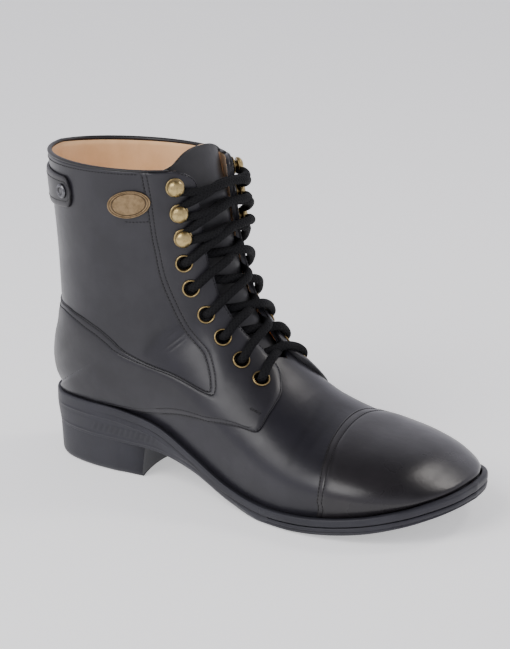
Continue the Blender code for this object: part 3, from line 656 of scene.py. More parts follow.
# ---- Collar binding -------------------------------------------------------------------
# A thin strip of calf rolled over the top rim, from one facing round the back to the
# other, thinning out at both ends.
part = np.linspace(-1, 1, 321)
turn = np.sign(part + 1e-9) * (1 - 0.77 * np.abs(part))
slim = np.sqrt(np.clip(1 - np.clip((np.abs(part) - 0.985) / 0.015, 0, 1) ** 2, 0.0, 1))[:, None]
angle = np.linspace(0, 2 * np.pi, 21)[None]
rise = 0.04 + 0.07 * slim * np.sin(angle)
over = -0.0012 + 0.0015 * slim * np.cos(angle)
turn = -turn[:, None] + 0 * rise
ring = last(dipped(COLLAR_ROW + rise, turn), turn, over)
CALF_EDGE = leather("binding_calf", (0.009, 0.0085, 0.009), (0.016, 0.015, 0.016), (0.07, 0.062, 0.055), 0.42)
# Paler and browner along the top of the roll.
paler_roll_top = 0.5 * mound(angle, np.pi / 2, 0.6) + 0 * rise
piece("binding_leather", [ring], CALF_EDGE, "leather", ["collar_binding"],
      wear=[paler_roll_top], crease=[0.0])


# ---- Tongue ---------------------------------------------------------------------------
# A soft sheet of calf behind the laces, sewn in over the toes and free at the top, with a
# tan back. It swells a little along its middle and leans back at its free end.
row = np.linspace(8.7, 19.78, 130)[:, None]
part = np.linspace(-1, 1, 61)[None]
width = np.interp(row, [8.7, 10, 13, 17, 19.3, 19.8], [0.17, 0.24, 0.27, 0.28, 0.275, 0.235])
turn = width * part
row = row - 0.80 * np.clip((row - 18.4) / 1.38, 0, 1) ** 2 * np.abs(part) ** 3
fall = -0.0009 * (1 - np.sqrt(np.clip(1 - np.clip((np.abs(part) - 0.94) / 0.06, 0, 1) ** 2, 0, 1)))
soft = 0.0004 * (1 - part ** 2) * (0.6 + 0.4 * np.sin(row * 2.3)) + fall
front = last(row, turn, -WALL - 0.0014 + soft)
back = last(row, turn, -WALL - 0.0030)
free = np.clip((row - 17.0) / 2.7, 0, 1) * (1 - part ** 2)
for sheet in (front, back):
    sheet[..., 0] -= 0.0095 * free ** 1.3
    sheet[..., 2] += 0.0030 * free ** 2
CALF_TONGUE = leather(
    "tongue_calf", (0.008, 0.0078, 0.0085), (0.014, 0.0135, 0.0145), (0.05, 0.046, 0.043), 0.48, 1.5)
edge = np.clip((np.abs(part) - 0.9) / 0.1, 0, 1) + 0 * row
piece("tongue_leather", [front] + borders(front, back), CALF_TONGUE, "leather", ["tongue"], "out",
      wear=[edge * 0.3, 0, 0, 0, 0], crease=[0.0] * 5)
piece("tongue_back", [back, np.stack([back[-1], front[-1]])], TAN, "tan_lining", (), "in",
      crease=[0.0, 0.6])


# ---- Insole ---------------------------------------------------------------------------
# A tan leather sheet on the sole inside the boot, dished a little under heel and ball.
TOE_PULL = 0.0060
share = np.linspace(0, 1, 150)
across = np.linspace(0, 1, 41)[None, :, None]
pull = -WALL - 0.0018 - TOE_PULL * np.clip(1 - share / 0.2, 0, 1)
one, two = edge_line(share, -1.0, pull), edge_line(share, 1.0, pull)
sheet = one[:, None] * (1 - across) + two[:, None] * across
dish = (2 * across[..., 0] - 1) ** 4
sheet[..., 2] += 0.0018 + 0.0008 * dish
skirt = np.concatenate([one, two[-2::-1]])
low_skirt = skirt.copy()
skirt[:, 2] += 0.0026
low_skirt[:, 2] += 0.0005
# Darker towards its sides where it meets the wall, and on its rim: painted shade.
piece("insole_leather", [sheet, np.stack([skirt, low_skirt])], TAN, "tan_lining", ["insole"], "solid",
      crease=[0.25 * dish + 0 * share[:, None], 0.5])


# ---- Outsole --------------------------------------------------------------------------
# One moulded rubber unit: a cupped heel and waist, and a flat forefoot with a tread. Its
# profile runs round the edge line of the last, rounded at every corner.
def eased(line, radius, steps=4):
    """A line of (stations, 2) points with every inner corner replaced by a small curve
    that starts and ends a radius away, or at most 45% of the way to its neighbour."""
    made = [line[0]]
    for before, here, after in zip(line, line[1:], line[2:]):
        one, two = before - here, after - here
        size_one = np.linalg.norm(one, axis=1, keepdims=True) + 1e-12
        size_two = np.linalg.norm(two, axis=1, keepdims=True) + 1e-12
        a = here + one / size_one * np.minimum(radius, 0.45 * size_one)
        b = here + two / size_two * np.minimum(radius, 0.45 * size_two)
        for t in np.linspace(0, 1, steps):
            made.append((1 - t) ** 2 * a + 2 * t * (1 - t) * here + t * t * b)
    made.append(line[-1])
    return np.array(made)


def run_along(points):
    """Distance along a line of points at each of them."""
    return np.concatenate([[0], np.cumsum(np.linalg.norm(np.diff(points, axis=0), axis=1))])


def even(line, count):
    """Every station's line again as count points at even steps along it."""
    made = np.empty((count, line.shape[1], 2))
    for i in range(line.shape[1]):
        run = run_along(line[:, i])
        for k in (0, 1):
            made[:, i, k] = np.interp(np.linspace(0, run[-1], count), run, line[:, i, k])
    return made


def moulding(corners, share, radius, steps, count):
    """Count even points at every station of a profile, from its corners as distances out
    and heights, with each corner eased."""
    line = np.array([np.stack([out + 0 * share, height + 0 * share], 1) for out, height in corners])
    return even(eased(line, radius, steps), count)


def between(value, low, high, soft):
    """1 between low and high, fading to 0 over soft inside them."""
    return np.clip((value - low) / soft, 0, 1) * np.clip((high - value) / soft, 0, 1)


def sole_ring(share, grow, height):
    """Points round the sole at a distance out and a height per station, outer side first."""
    sides = []
    for side in (-1.0, 1.0):
        line = edge_line(share, side, grow)
        line[..., 2] = height
        sides.append(line)
    return np.concatenate([sides[0], sides[1][-2::-1]])


def rubber(name, dark, light, rough, tread=False):
    """Moulded black rubber: a fine stipple, cloudy bloom and a little dust; paler where worn and as a
    painted highlight on moulded crests, darker as painted shade in grooves, between ribs and in tread recesses.
    """
    paint = Paint(name, Specular_IOR_Level=0.36)
    tone = paint.noise(38, 4, 0.6).ramp(0.30, 0.72)
    dust = paint.noise(210, 5, 0.7).ramp(0.55, 0.78)
    wear, crease = paint.mark("wear"), paint.mark("crease")
    colour = paint.mix(tone, dark, light)
    # Paler with dust and wear, and a painted highlight on the crests.
    colour = paint.mix(dust * 0.16 + wear * 0.4, colour, (0.075, 0.075, 0.078))
    # Painted shade: darker in grooves, between ribs and in tread recesses.
    colour = paint.mix(crease * 0.8, colour, tuple(0.4 * c for c in dark))
    stipple = paint.noise(3200, 2, 0.6)
    normal = paint.bump(stipple, 0.00008, 0.55)
    normal = paint.bump(paint.noise(130, 3, 0.5), 0.00018, 0.4, normal)
    if tread:
        ribs = paint.node("ShaderNodeTexWave", {"bands_direction": "X", "wave_profile": "SAW"},
                          Vector=paint.place, Scale=42.0, Distortion=0.0)
        normal = paint.bump(ribs.ramp(0.25, 0.55), 0.0006, 0.6, normal)
    roughness = rough + tone * 0.08 + dust * 0.12 - wear * 0.08
    return paint.done(Base_Color=colour, Roughness=roughness, Normal=normal)


RUBBER = rubber("black_rubber", (0.0165, 0.0165, 0.0215), (0.026, 0.026, 0.033), 0.45)
TREAD = rubber("tread_rubber", (0.016, 0.017, 0.020), (0.026, 0.028, 0.032), 0.55, True)


def sole_sizes(share):
    """Rise, under and reach of the sole over its stations, the height of its lip, and
    fore, 1 in the forefoot where the welt is the lip."""
    line = through(EDGE, share * (len(EDGE) - 1))
    rise, under = line[:, 3] * SEAT_HEIGHT, np.maximum(line[:, 4], 0) * SEAT_HEIGHT
    fore = np.clip((share - 0.438) / 0.012, 0, 1)
    fore = 1 - fore * fore * (3 - 2 * fore)
    reach = np.interp(share, [0, 0.30, 0.42, 0.52, 0.62, 0.75, 1.0],
                      [0.0064, 0.0062, 0.0056, 0.0044, 0.0044, 0.0050, 0.0050])
    lip = np.interp(share, [0.0, 0.45, 0.60, 1.0], [0.0006, 0.0006, 0.0012, 0.0016])
    return rise, under, fore, reach, lip


share = [np.linspace(0, 0.436, 136), np.linspace(0.4375, 0.4525, 13), np.linspace(0.456, 1, 160)]
share = np.concatenate(share)
rise, under, fore, reach, lip = sole_sizes(share)
top = rise + lip * (1 - fore) - 0.0045 * fore
low = rise - 0.0005
deep = np.interp(share, [0, 0.45, 0.486, 0.7, 0.8, 1.0], [0.0026, 0.0026, 0.004, 0.010, 0.012, 0.012])
slope = 0.0016
round_off = np.interp(share, [0, 0.38, 0.62], [0.0018, 0.0018, 0.0004])
corners = [(-0.0090, low), (0.0018, low), (0.0022, top), (reach - 0.0005, top + 0.0002),
           (reach, top - 0.0008), (reach, under + deep + 0.0008), (reach - 0.0002 - 0.0010 * fore, under + deep),
           (reach - 0.0001, under + deep - 0.0008), (reach - slope, under + round_off),
           (reach - slope - 0.3 * round_off, under + 0.3 * round_off), (reach - slope - round_off, under),
           (-0.0090, under)]
line = moulding(corners, share, 0.0007, 4, 110)
wall = line[..., 0] > 0.0030
drop = top[None] - line[..., 1]
lift = line[..., 1] - under[None]
back_part = (1 - fore)[None]
s = share[None] + 0 * drop
GROOVE = 0.0008
groove = GROOVE * mound(line[..., 1] - (rise + lip)[None], -0.0047, 0.00045)
groove = groove * np.clip((s - 0.437) / 0.002, 0, 1) * np.clip((0.80 - s) / 0.16, 0, 1)
CREST = 0.0006
crest = CREST * (mound(lift, 0.0022, 0.0007) + 0.8 * mound(lift, 0.0050, 0.0006)) * between(s, 0.50, 0.64, 0.03)
ribs = 0.5 + 0.5 * np.sin((s * 330 + lift * 420) * 2)
panel = between(lift, 0.0045, 0.0105, 0.0006) * between(s, 0.665, 0.790, 0.006)
border = 0.00045 * (mound(drop, 0.0075, 0.0005) + mound(lift, 0.0026, 0.0005)) * between(s, 0.64, 0.90, 0.05)
line[..., 0] += np.where(wall, (crest + border - groove + panel * (0.0006 * ribs - 0.00025)) * back_part, 0)
rings = np.array([sole_ring(share, g, h) for g, h in zip(line[..., 0], line[..., 1])])
# Painted shade: darker in the groove and between the panel's ribs.
dark = np.concatenate([groove / GROOVE + panel * (1 - ribs) * 0.4, (groove / GROOVE)[:, -2::-1]], 1)
# Painted highlight: paler and shinier on the crests.
crest_highlight = np.concatenate([crest / CREST, (crest / CREST)[:, -2::-1]], 1)
half = len(share) - 1
mix = np.linspace(0, 1, 90)[None, :, None]
one, two = rings[-1][:half + 1, None], rings[-1][:half - 1:-1, None]
bottom = one * (1 - mix) + two * mix
x, y = bottom[..., 0], bottom[..., 1]
bars = np.clip(4 * np.sin((x + 0.35 * np.abs(y)) * 2 * np.pi / 0.0085) + 1.5, 0, 1)
inside = np.clip(np.minimum(mix[..., 0], 1 - mix[..., 0]) / 0.06, 0, 1)
field = between(x, 0.098, 0.205, 0.004)
bottom[..., 2] += 0.0011 * (1 - bars) * inside * field
one, two = rings[0][:half + 1, None], rings[0][:half - 1:-1, None]
upper_face = one * (1 - mix[:, ::8]) + two * mix[:, ::8]
# The tread's recesses on the bottom are darkened too: painted shade.
piece("sole_rubber_unit", [rings, bottom, upper_face], RUBBER, "sole_rubber", ["outsole"],
      wear=[np.clip(crest_highlight, 0, 1), 0.0, 0.0], crease=[np.clip(dark, 0, 1), (1 - bars) * inside * field, 0.0])


# ---- Welt -----------------------------------------------------------------------------
# A rounded rubber lip on the sole round the forefoot, from one end of the waist to the
# other, over a narrow groove.
share = np.linspace(0, 0.4570, 190)
rise, under, fore, reach, lip = sole_sizes(share)
corners = [(0.0027, rise - 0.0041), (0.0026, rise + 0.0004), (0.0034, rise + 0.0009),
           (reach - 0.0008, rise + lip + 0.0002), (reach + 0.0001, rise + lip - 0.0007),
           (reach + 0.0001, rise - 0.0033), (reach - 0.0007, rise - 0.0041), (0.0027, rise - 0.0041)]
line = moulding(corners, share, 0.0010, 6, 40)
sides = []
for side in (-1.0, 1.0):
    grid = edge_line(share[None] + 0 * line[..., 0], side, line[..., 0])
    grid[..., 2] = line[..., 1]
    sides.append(grid)
strip = np.concatenate([sides[0][:, ::-1], sides[1][:, 1:]], 1)
middle = strip.mean(0)
ends = [np.stack([strip[:, i], middle[i][None] + 0 * strip[:, i]]) for i in (0, -1)]
piece("welt_rubber", [strip] + ends, RUBBER, "sole_rubber", ["welt"], wear=[0.0] * 3, crease=[0.0] * 3)


# ---- Heel -----------------------------------------------------------------------------
# A rubber block under the seat with a hollow front face and soft edges, and a ribbed wear
# face on the floor.
BREAST = 0.077
HEEL_TOP = 0.510 * SEAT_HEIGHT + 0.0008
place = np.concatenate([np.linspace(0.735, 0.96, 60), np.linspace(0.962, 1.0, 30)])
FOOT = np.array([0, 0.0001, 0.0003, 0.0006, 0.0010, 0.0016, 0.0022, 0.0030])
level = np.concatenate([FOOT[:-1], np.linspace(FOOT[-1], HEEL_TOP - 0.0012, 15),
                        HEEL_TOP - np.array([0.0008, 0.0004, 0.0002, 0])])
grow = np.interp(level, [*FOOT, HEEL_TOP - 0.0012, HEEL_TOP - 0.0006, HEEL_TOP],
                 [-0.0003, 0.0003, 0.0009, 0.0014, 0.0018, 0.0021, 0.0023, 0.0025, 0.0033, 0.0033, 0.0030])
rings = []
for out, height in zip(grow, level):
    sides = []
    for side in (-1.0, 1.0):
        line = edge_line(place, side, out)
        line[:, 2] = height
        ease = np.clip(1 - np.arange(len(place)) / 5, 0, 1) ** 2
        front = BREAST - HEEL_CENTRE + 0.0016 * (2 * height / HEEL_TOP - 1)
        line[0, 0] = front - 0.0002
        line[:, 1] -= side * 0.0012 * ease
        sides.append(line)
    turn = np.linspace(0, 1, 40)[1:-1, None]
    breast = sides[1][0] * (1 - turn) + sides[0][0] * turn
    breast[:, 0] -= 0.0060 * np.sin(np.pi * turn[:, 0]) ** 0.9
    rings.append(np.concatenate([sides[0], sides[1][-2::-1], breast, sides[0][:1]]))
rings = np.array(rings)
lids = []
for ring in (rings[0], rings[-1]):
    centre = ring.mean(0)
    lids.append(np.array([centre + (ring - centre) * k for k in (1.0, 0.96, 0.75, 0.5, 0.25, 0.0)]))
low_edge = mound(level, 0.0012, 0.0012)[:, None] + 0 * rings[..., 0]
piece("heel_rubber", [rings, lids[1]], RUBBER, "sole_rubber", ["heel"], "solid",
      wear=[low_edge * 0.35, 0.0], crease=[0.0] * 2)
piece("heel_tread", [lids[0]], TREAD, "sole_rubber", (), "solid", wear=[0.0], crease=[0.0])


# ---- Back strap -----------------------------------------------------------------------
# A narrow strap of calf round the back of the collar, rounded at both ends, sewn along
# its border and snapped down.
STRAP = 0.0021


def strap(part, rise):
    """Row and turn of the strap: part from -1 to 1 along it, rise from -1 to 1 over its
    height, which follows a quarter ellipse at the ends."""
    size = np.abs(part)
    bow = np.sqrt(np.clip(1 - (np.maximum(size - 0.93, 0) / 0.07) ** 2, 0.02, 1))
    row = 18.34 + 0.13 * (1 - size) + (0.30 - 0.03 * (1 - size)) * bow * rise
    return row, np.sign(part + 1e-9) * (1 - 0.385 * size)


part = [np.linspace(-1, -0.92, 18), np.linspace(-0.915, 0.915, 150), np.linspace(0.92, 1, 18)]
part = np.concatenate(part)[:, None]
rise = np.array([-1, -0.985, -0.95, -0.90, -0.83, -0.75, -0.66, -0.57, -0.45, -0.3, -0.15, 0])
rise = np.concatenate([rise, -rise[-2::-1]])[None]
row, turn = strap(part + 0 * rise, rise + 0 * part)
gap = np.minimum((1 - np.abs(rise)) * 0.0028 + 0 * part, (1 - np.abs(part)) * 0.055 + 0 * rise)
height = STRAP + folded(gap, 0.0009) + seam(gap, (0.0011,), 0.00015, 0.00035)
face = last(row, turn, height)
low = last(row, turn, 0.0003)
# Painted shade along the stitch row, the cut edge and the edge walls; paler where the folded edge is worn.
piece("strap_leather", [face] + borders(face, low), CALF_QUARTER, "leather", ["back_strap"], "out",
      wear=[0.5 * mound(gap, 0.0005, 0.0004), 0, 0, 0, 0],
      crease=[np.clip(0.8 * mound(gap, 0.0011, 0.0004) + mound(gap, 0, 0.0002), 0, 1), 1, 1, 1, 1])


# ---- Snaps ----------------------------------------------------------------------------
# A dark nickel cap at each end of the strap, pressed through it, with a rolled rim and a
# dimple.
def metal(name, bright, tarnish, rough, spread):
    """Plated metal: patches of tarnish, darker in low places (tarnish in hollows, and painted
    shade down the eyelet barrels), and fine brush marks.
    """
    paint = Paint(name, Specular_IOR_Level=0.5)
    patch = paint.noise(420, 5, 0.65).ramp(0.42, 0.72)
    speck = paint.noise(1900, 3, 0.6).ramp(0.58, 0.75)
    colour = paint.mix(patch * spread + speck * 0.25 + paint.mark("crease") * 0.8, bright, tarnish)
    normal = paint.bump(paint.noise(1500, 4, 0.6), 0.00005, 0.5)
    return paint.done(Base_Color=colour, Roughness=rough + patch * 0.16 + speck * 0.10, Normal=normal,
                      Metallic=0.98 - patch * 0.10 * spread)


def turned(profile, steps, frame_at, soft=0.00025):
    """A round form about the Z axis of a frame from its profile of (radius, height), with
    eased corners."""
    line = eased(np.array(profile)[:, None, :], soft, 4)[:, 0]
    angle = np.linspace(0, 2 * np.pi, steps + 1)
    sheet = np.stack([line[:, :1] * np.cos(angle), line[:, :1] * np.sin(angle), line[:, 1:] + 0 * angle], -1)
    return sheet @ frame_at[0].T + frame_at[1]


NICKEL = metal("dark_nickel", (0.15, 0.15, 0.16), (0.035, 0.034, 0.034), 0.30, 0.5)
SNAP = [(0.0, 0.0011), (0.0022, 0.0010), (0.0026, 0.0015), (0.0036, 0.0017), (0.0044, 0.0009),
        (0.0045, 0.0002), (0.0040, 0.0001)]
SNAP_ROW, SNAP_TURN = 18.36, 0.655
for name, side in (("snap_outer", -1), ("snap_inner", 1)):
    where = spot(SNAP_ROW, side * SNAP_TURN, STRAP)
    cap = turned(SNAP, 40, where)
    radius = np.linalg.norm(cap - where[1], axis=2)
    piece(name + "_cap", [cap], NICKEL, "brass", [name], "out", crease=[mound(radius, 0.0024, 0.0004)])


# ---- Badge ----------------------------------------------------------------------------
# A bare oval plate of aged brass on the outer side of the shaft: a raised rim, a fine
# inner line and a stippled field.
PLATE = [(0.0, 0.00125), (0.60, 0.00125), (0.74, 0.00122), (0.765, 0.00095), (0.80, 0.00095),
         (0.825, 0.00130), (0.87, 0.00135), (0.895, 0.00110), (0.92, 0.00155), (0.97, 0.0016),
         (0.995, 0.0011), (1.0, 0.0006), (0.985, 0.0001)]
BADGE_SPOT, BADGE_LONG, BADGE_HIGH, BADGE_TILT = (17.93, -0.390), 0.0134, 0.0082, math.radians(-3)


def laid(row, turn, x, y):
    """Row and turn of a place x metres towards the ridge and y metres up from a spot: the
    form's two slopes there, turned round, in four steps that each close the gap left."""
    frame_at, here = spot(row, turn, 0.0)
    slopes = np.stack([(last(row + 0.01, turn) - here) / 0.01, (last(row, turn + 0.001) - here) / 0.001])
    turned_round = np.linalg.inv((slopes @ frame_at[:, :2]).T)
    wanted = np.stack(np.broadcast_arrays(x, y), -1)
    at = np.array([row, turn]) + 0 * wanted
    for _ in range(4):
        at = at + (wanted - (last(at[..., 0], at[..., 1]) - here) @ frame_at[:, :2]) @ turned_round.T
    return at[..., 0], at[..., 1]


line = eased(np.array(PLATE)[:, None, :], 0.010, 4)[:, 0]
line = np.concatenate([line[:1], [[0.2, 0.00125], [0.4, 0.00125]], line[1:]])
angle = np.linspace(0, 2 * np.pi, 97)[None]
size = line[:, :1]
x, y = BADGE_LONG * size * np.cos(angle), BADGE_HIGH * size * np.sin(angle)
along, up = math.cos(BADGE_TILT), math.sin(BADGE_TILT)
row, turn = laid(*BADGE_SPOT, x * along - y * up, x * up + y * along)
paint = Paint("badge_brass", Specular_IOR_Level=0.5)
patch = paint.noise(300, 5, 0.6).ramp(0.35, 0.70)
bead = paint.cells(1500).ramp(0.15, 0.55)
low = paint.mark("crease")
colour = paint.mix(patch * 0.6, (0.27, 0.190, 0.105), (0.155, 0.105, 0.055))
colour = paint.mix(low, colour, (0.040, 0.028, 0.017))
BADGE = paint.done(Base_Color=colour, Roughness=0.34 + patch * 0.16 + bead * 0.05, Metallic=0.96 - low * 0.25,
                   Normal=paint.bump(bead, 0.00012, 0.7))
low_line = mound(size, 0.783, 0.022) + 0.8 * mound(size, 0.895, 0.014) + 0.9 * mound(size, 1.0, 0.01)
piece("badge_plate", [last(row, turn, line[:, 1:] + 0 * turn)], BADGE, "brass", ["badge"], "out",
      crease=[np.clip(low_line, 0, 1) + 0 * angle])


# ---- Eyelets --------------------------------------------------------------------------
# Six pairs of rolled brass rings with short barrels in holes of the facing.
BRASS = metal("antique_brass", (0.46, 0.35, 0.16), (0.15, 0.100, 0.042), 0.30, 0.50)
RING = [(0.0040, -0.0040), (0.0040, 0.0002), (0.0042, 0.0009), (0.0047, 0.0013), (0.0052, 0.0010),
        (0.0054, 0.0004), (0.0052, 0.0001), (0.0043, 0.0001), (0.0042, -0.0040), (0.0040, -0.0040)]
EYELET_AGE = 0.35
rings, tints = [], []
for where in BORES:
    ring = turned(RING, 40, where, 0.0003)
    local = (ring - where[1]) @ where[0]
    rings.append(ring)
    rim = mound(np.hypot(local[..., 0], local[..., 1]), 0.0055, 0.0003)
    # Painted shade down the barrel inside the hole; a base tint of age and a darker rim edge as well.
    barrel_shade = np.clip(-local[..., 2] / 0.0008, 0, 1)
    tints.append(np.clip(EYELET_AGE + rim + barrel_shade, 0, 1))
nodes = ["eyelet_%s_%d" % (side, n) for side in ("outer", "inner") for n in range(1, 7)]
piece("eyelet_rings", rings, BRASS, "brass", nodes, crease=tints)


# ---- Hooks ----------------------------------------------------------------------------
# Three pairs of speed hooks over the eyelets: a base, a neck and a domed head of brass.
HOOK = [(0.0, 0.0003), (0.0052, 0.0003), (0.0057, 0.0007), (0.0054, 0.0012), (0.0028, 0.0014),
        (0.0018, 0.0018), (0.0018, 0.0030), (0.0030, 0.0033), (0.0046, 0.0033)]
HOOK += [(0.0050 * math.cos(t), 0.0040 + 0.0033 * math.sin(t)) for t in np.linspace(-0.15, math.pi / 2, 12)]
heads, tints = [], []
for side in (-1, 1):
    for row, turn in HOOKS:
        where = spot(row, side * turn, LAYER)
        head = turned(HOOK, 48, where, 0.0003)
        local = (head - where[1]) @ where[0]
        heads.append(head)
        tints.append(np.clip(mound(local[..., 2], 0.0022, 0.0010), 0, 1) * 0.9)
nodes = ["hook_%s_%d" % (side, n) for side in ("outer", "inner") for n in range(1, 4)]
piece("hook_heads", heads, BRASS, "brass", nodes, crease=tints)


# ---- Laces ----------------------------------------------------------------------------
# Two ends of one round braided cord. Each comes up through an eyelet, crosses the throat,
# goes under the other facing and up through the next, then round the hooks, and ends
# under the head of the top one.
LACE = 0.0027
UNDER = -0.0030
INNER_LIFT = 0.0036
RING_STEP = 0.0006


def lace_route(hand):
    """Columns: row, turn, grow, thickness as a share of the width, and width as a share of
    the whole cord's."""
    eyes = EYELETS[::-1]
    stops = [(9.20, 0.0, UNDER, 0.3, 1.0)]
    for number in range(len(eyes)):
        row, turn = eyes[number]
        side = hand if number % 2 == 0 else -hand
        step = (eyes[number + 1] if number + 1 < len(eyes) else HOOKS[2])[0] - row
        over = 0.0040 if (side > 0) == (number % 2 == 0) else -0.0004
        stops += [(row - 0.05, side * (turn - 0.05), UNDER, 0.3, 1.0),
                  (row, side * (turn - 0.004), -0.0010, 0.9, 0.95),
                  (row + 0.01 * step, side * (turn - 0.009), 0.0024, 0.95, 1.0),
                  (row + 0.06 * step, side * (turn - 0.027), 0.0044, 0.95, 1.0),
                  (row + 0.20 * step, side * (turn - 0.065), 0.0048, 1.0, 1.0),
                  (row + 0.36 * step, side * 0.095, 0.0044, 1.0, 1.0),
                  (row + 0.52 * step, side * 0.005, over, 0.88, 1.0)]
        if number + 1 < len(eyes):
            stops += [(row + 0.70 * step, -side * 0.085, -0.0002, 0.9, 1.0),
                      (row + 0.84 * step, -side * 0.130, -0.0024, 0.45, 1.0),
                      (row + 0.93 * step, -side * 0.165, UNDER, 0.3, 1.0)]
    side = -side
    for number, (row, turn) in enumerate(HOOKS[::-1]):
        high, wide = (INNER_LIFT, 0.994) if side > 0 else (0.0, 0.85)
        stops += [(row - 0.46, side * 0.125, 0.0046 + high, 1.0, 1.0),
                  (row - 0.30, side * (turn - 0.034), 0.0046 + high, 0.60, wide),
                  (row - 0.25, side * turn, 0.0043, 0.60, 0.58),
                  (row - 0.02, side * (turn + 0.021), 0.0043, 0.60, 0.58)]
        if number < 2:
            step = HOOKS[::-1][number + 1][0] - row
            over = 0.0044 if (side > 0) == (number % 2 == 1) else 0.0002
            stops += [(row + 0.23, side * turn, 0.0043, 0.60, 0.58),
                      (row + 0.32, side * (turn - 0.034), 0.0048 + high, 0.70, wide),
                      (row + 0.44 + 0.06 * step, side * 0.125, 0.0050 + high, 1.0, 1.0),
                      (row + 0.62 * step, side * 0.01, over, 0.88, 1.0)]
            side = -side
    stops += [(row + 0.20, side * turn, 0.0043, 0.5, 0.5)]
    return np.array(stops)


def square_to(ahead, out):
    """Directions out, made square to ahead and of length 1."""
    out = out - np.sum(out * ahead, 1, keepdims=True) * ahead
    return out / np.linalg.norm(out, axis=1, keepdims=True)


def cord(route, wide, around, step):
    """A tube along a route on the last, as broad and as thick as the route's shares say.
    The weave's u runs along it in metres and v round it."""
    at = through(route, np.linspace(0, len(route) - 1, 60 * len(route)))
    spine = last(at[:, 0], at[:, 1], at[:, 2])
    run = run_along(spine)
    place = np.linspace(0, run[-1], int(run[-1] / step))
    at = np.stack([np.interp(place, run, at[:, k]) for k in range(5)], 1)
    spine = last(at[:, 0], at[:, 1], at[:, 2])
    ahead = np.gradient(spine, axis=0)
    ahead /= np.linalg.norm(ahead, axis=1, keepdims=True)
    out = square_to(ahead, last(at[:, 0], at[:, 1], at[:, 2] + 0.001) - spine)
    for _ in range(3):
        out[1:-1] = (out[:-2] + out[1:-1] + out[2:]) / 3
    out = square_to(ahead, out)
    aside = np.cross(ahead, out)
    angle = np.linspace(0, 2 * np.pi, around + 1)[None, :, None]
    thin, broad = at[:, 3][:, None, None], at[:, 4][:, None, None]
    tip = np.clip(1 - np.minimum(place, place[-1] - place) / wide, 0, 1)
    size = wide * broad * np.sqrt(np.clip(1 - tip ** 2, 0, 1))[:, None, None]
    tube = spine[:, None] + size * (np.cos(angle) * aside[:, None] + thin * np.sin(angle) * out[:, None])
    weave = np.stack(np.broadcast_arrays(place[:, None], np.linspace(0, 1, around + 1)[None]), -1)
    return tube, weave


def braid(name, dark, light):
    """Matte braided cord: two crossing sets of strands round it, with stray fibres, darker
    between the strands as painted shade.
    """
    paint = Paint(name, Specular_IOR_Level=0.16)
    weave = paint.node("ShaderNodeUVMap", {"uv_map": "weave"})
    u = paint.node("ShaderNodeSeparateXYZ", {}, weave, out="X")
    v = paint.node("ShaderNodeSeparateXYZ", {}, weave, out="Y")
    along, round_it = u * 2600.0, v * 37.699
    one, two = along + round_it, along - round_it
    one, two = one.math("SINE", one), two.math("SINE", two)
    weft = one.math("MAXIMUM", one, two) * 0.5 + 0.5
    fibre = paint.noise(5200, 3, 0.7)
    # Painted shade: darker between the strands, paler on their crowns.
    colour = paint.mix(weft * 0.7 + fibre * 0.3, dark, light)
    normal = paint.bump(weft + fibre * 0.25, 0.0003, 0.8)
    return paint.done(Base_Color=colour, Roughness=0.70 + fibre * 0.2, Normal=normal)


CORD = braid("black_braid", (0.0022, 0.0022, 0.0026), (0.0085, 0.0085, 0.0095))
one, weave_one = cord(lace_route(-1), LACE, 20, RING_STEP)
two, weave_two = cord(lace_route(1), LACE, 20, RING_STEP)
piece("lace_cord", [one, two], CORD, "lace", ["laces"], uv=[weave_one, weave_two])


# ---- Stitches -------------------------------------------------------------------------
# Fine waxed thread in even stitches along every seam, each a small capsule that dips into
# the leather at both ends.
def stitches(row, turn, grow, pitch=0.0021, thick=0.00026, form=skin):
    """Capsules along a line on the last, one every pitch."""
    here = form(row, turn, grow)
    run = run_along(here)
    count = max(int(run[-1] / pitch), 1)
    middle = (np.arange(count) + 0.5) * run[-1] / count
    place, after, before = (np.stack([np.interp(middle + way, run, here[:, k]) for k in range(3)], 1)
                            for way in (0.0, 0.0004, -0.0004))
    ahead = after - before
    ahead /= np.linalg.norm(ahead, axis=1, keepdims=True)
    at_row, at_turn = np.interp(middle, run, row), np.interp(middle, run, turn)
    out = square_to(ahead, last(at_row, at_turn, 0.001) - last(at_row, at_turn, 0.0))
    aside = np.cross(ahead, out)
    angle = np.linspace(0, 2 * np.pi, 7)
    made = []
    long = 0.40 * pitch
    for p, a, o, s in zip(place, ahead, out, aside):
        rings = []
        for t, r in ((-1.0, 0.0), (-0.86, 0.75), (0.0, 1.0), (0.86, 0.75), (1.0, 0.0)):
            centre = p + a * long * t + o * (0.00010 - 0.00022 * t * t)
            rings.append(centre + thick * r * (np.cos(angle)[:, None] * s + np.sin(angle)[:, None] * o))
        made.append(np.array(rings))
    return made


def thread(name, dark, light):
    """Waxed black thread with a fine fibre mottle."""
    paint = Paint(name, Specular_IOR_Level=0.35)
    fibre = paint.noise(4200, 3, 0.7)
    colour = paint.mix(fibre, dark, light)
    return paint.done(Base_Color=colour, Roughness=0.55 + fibre * 0.2, Normal=paint.bump(fibre, 0.00012, 0.7))


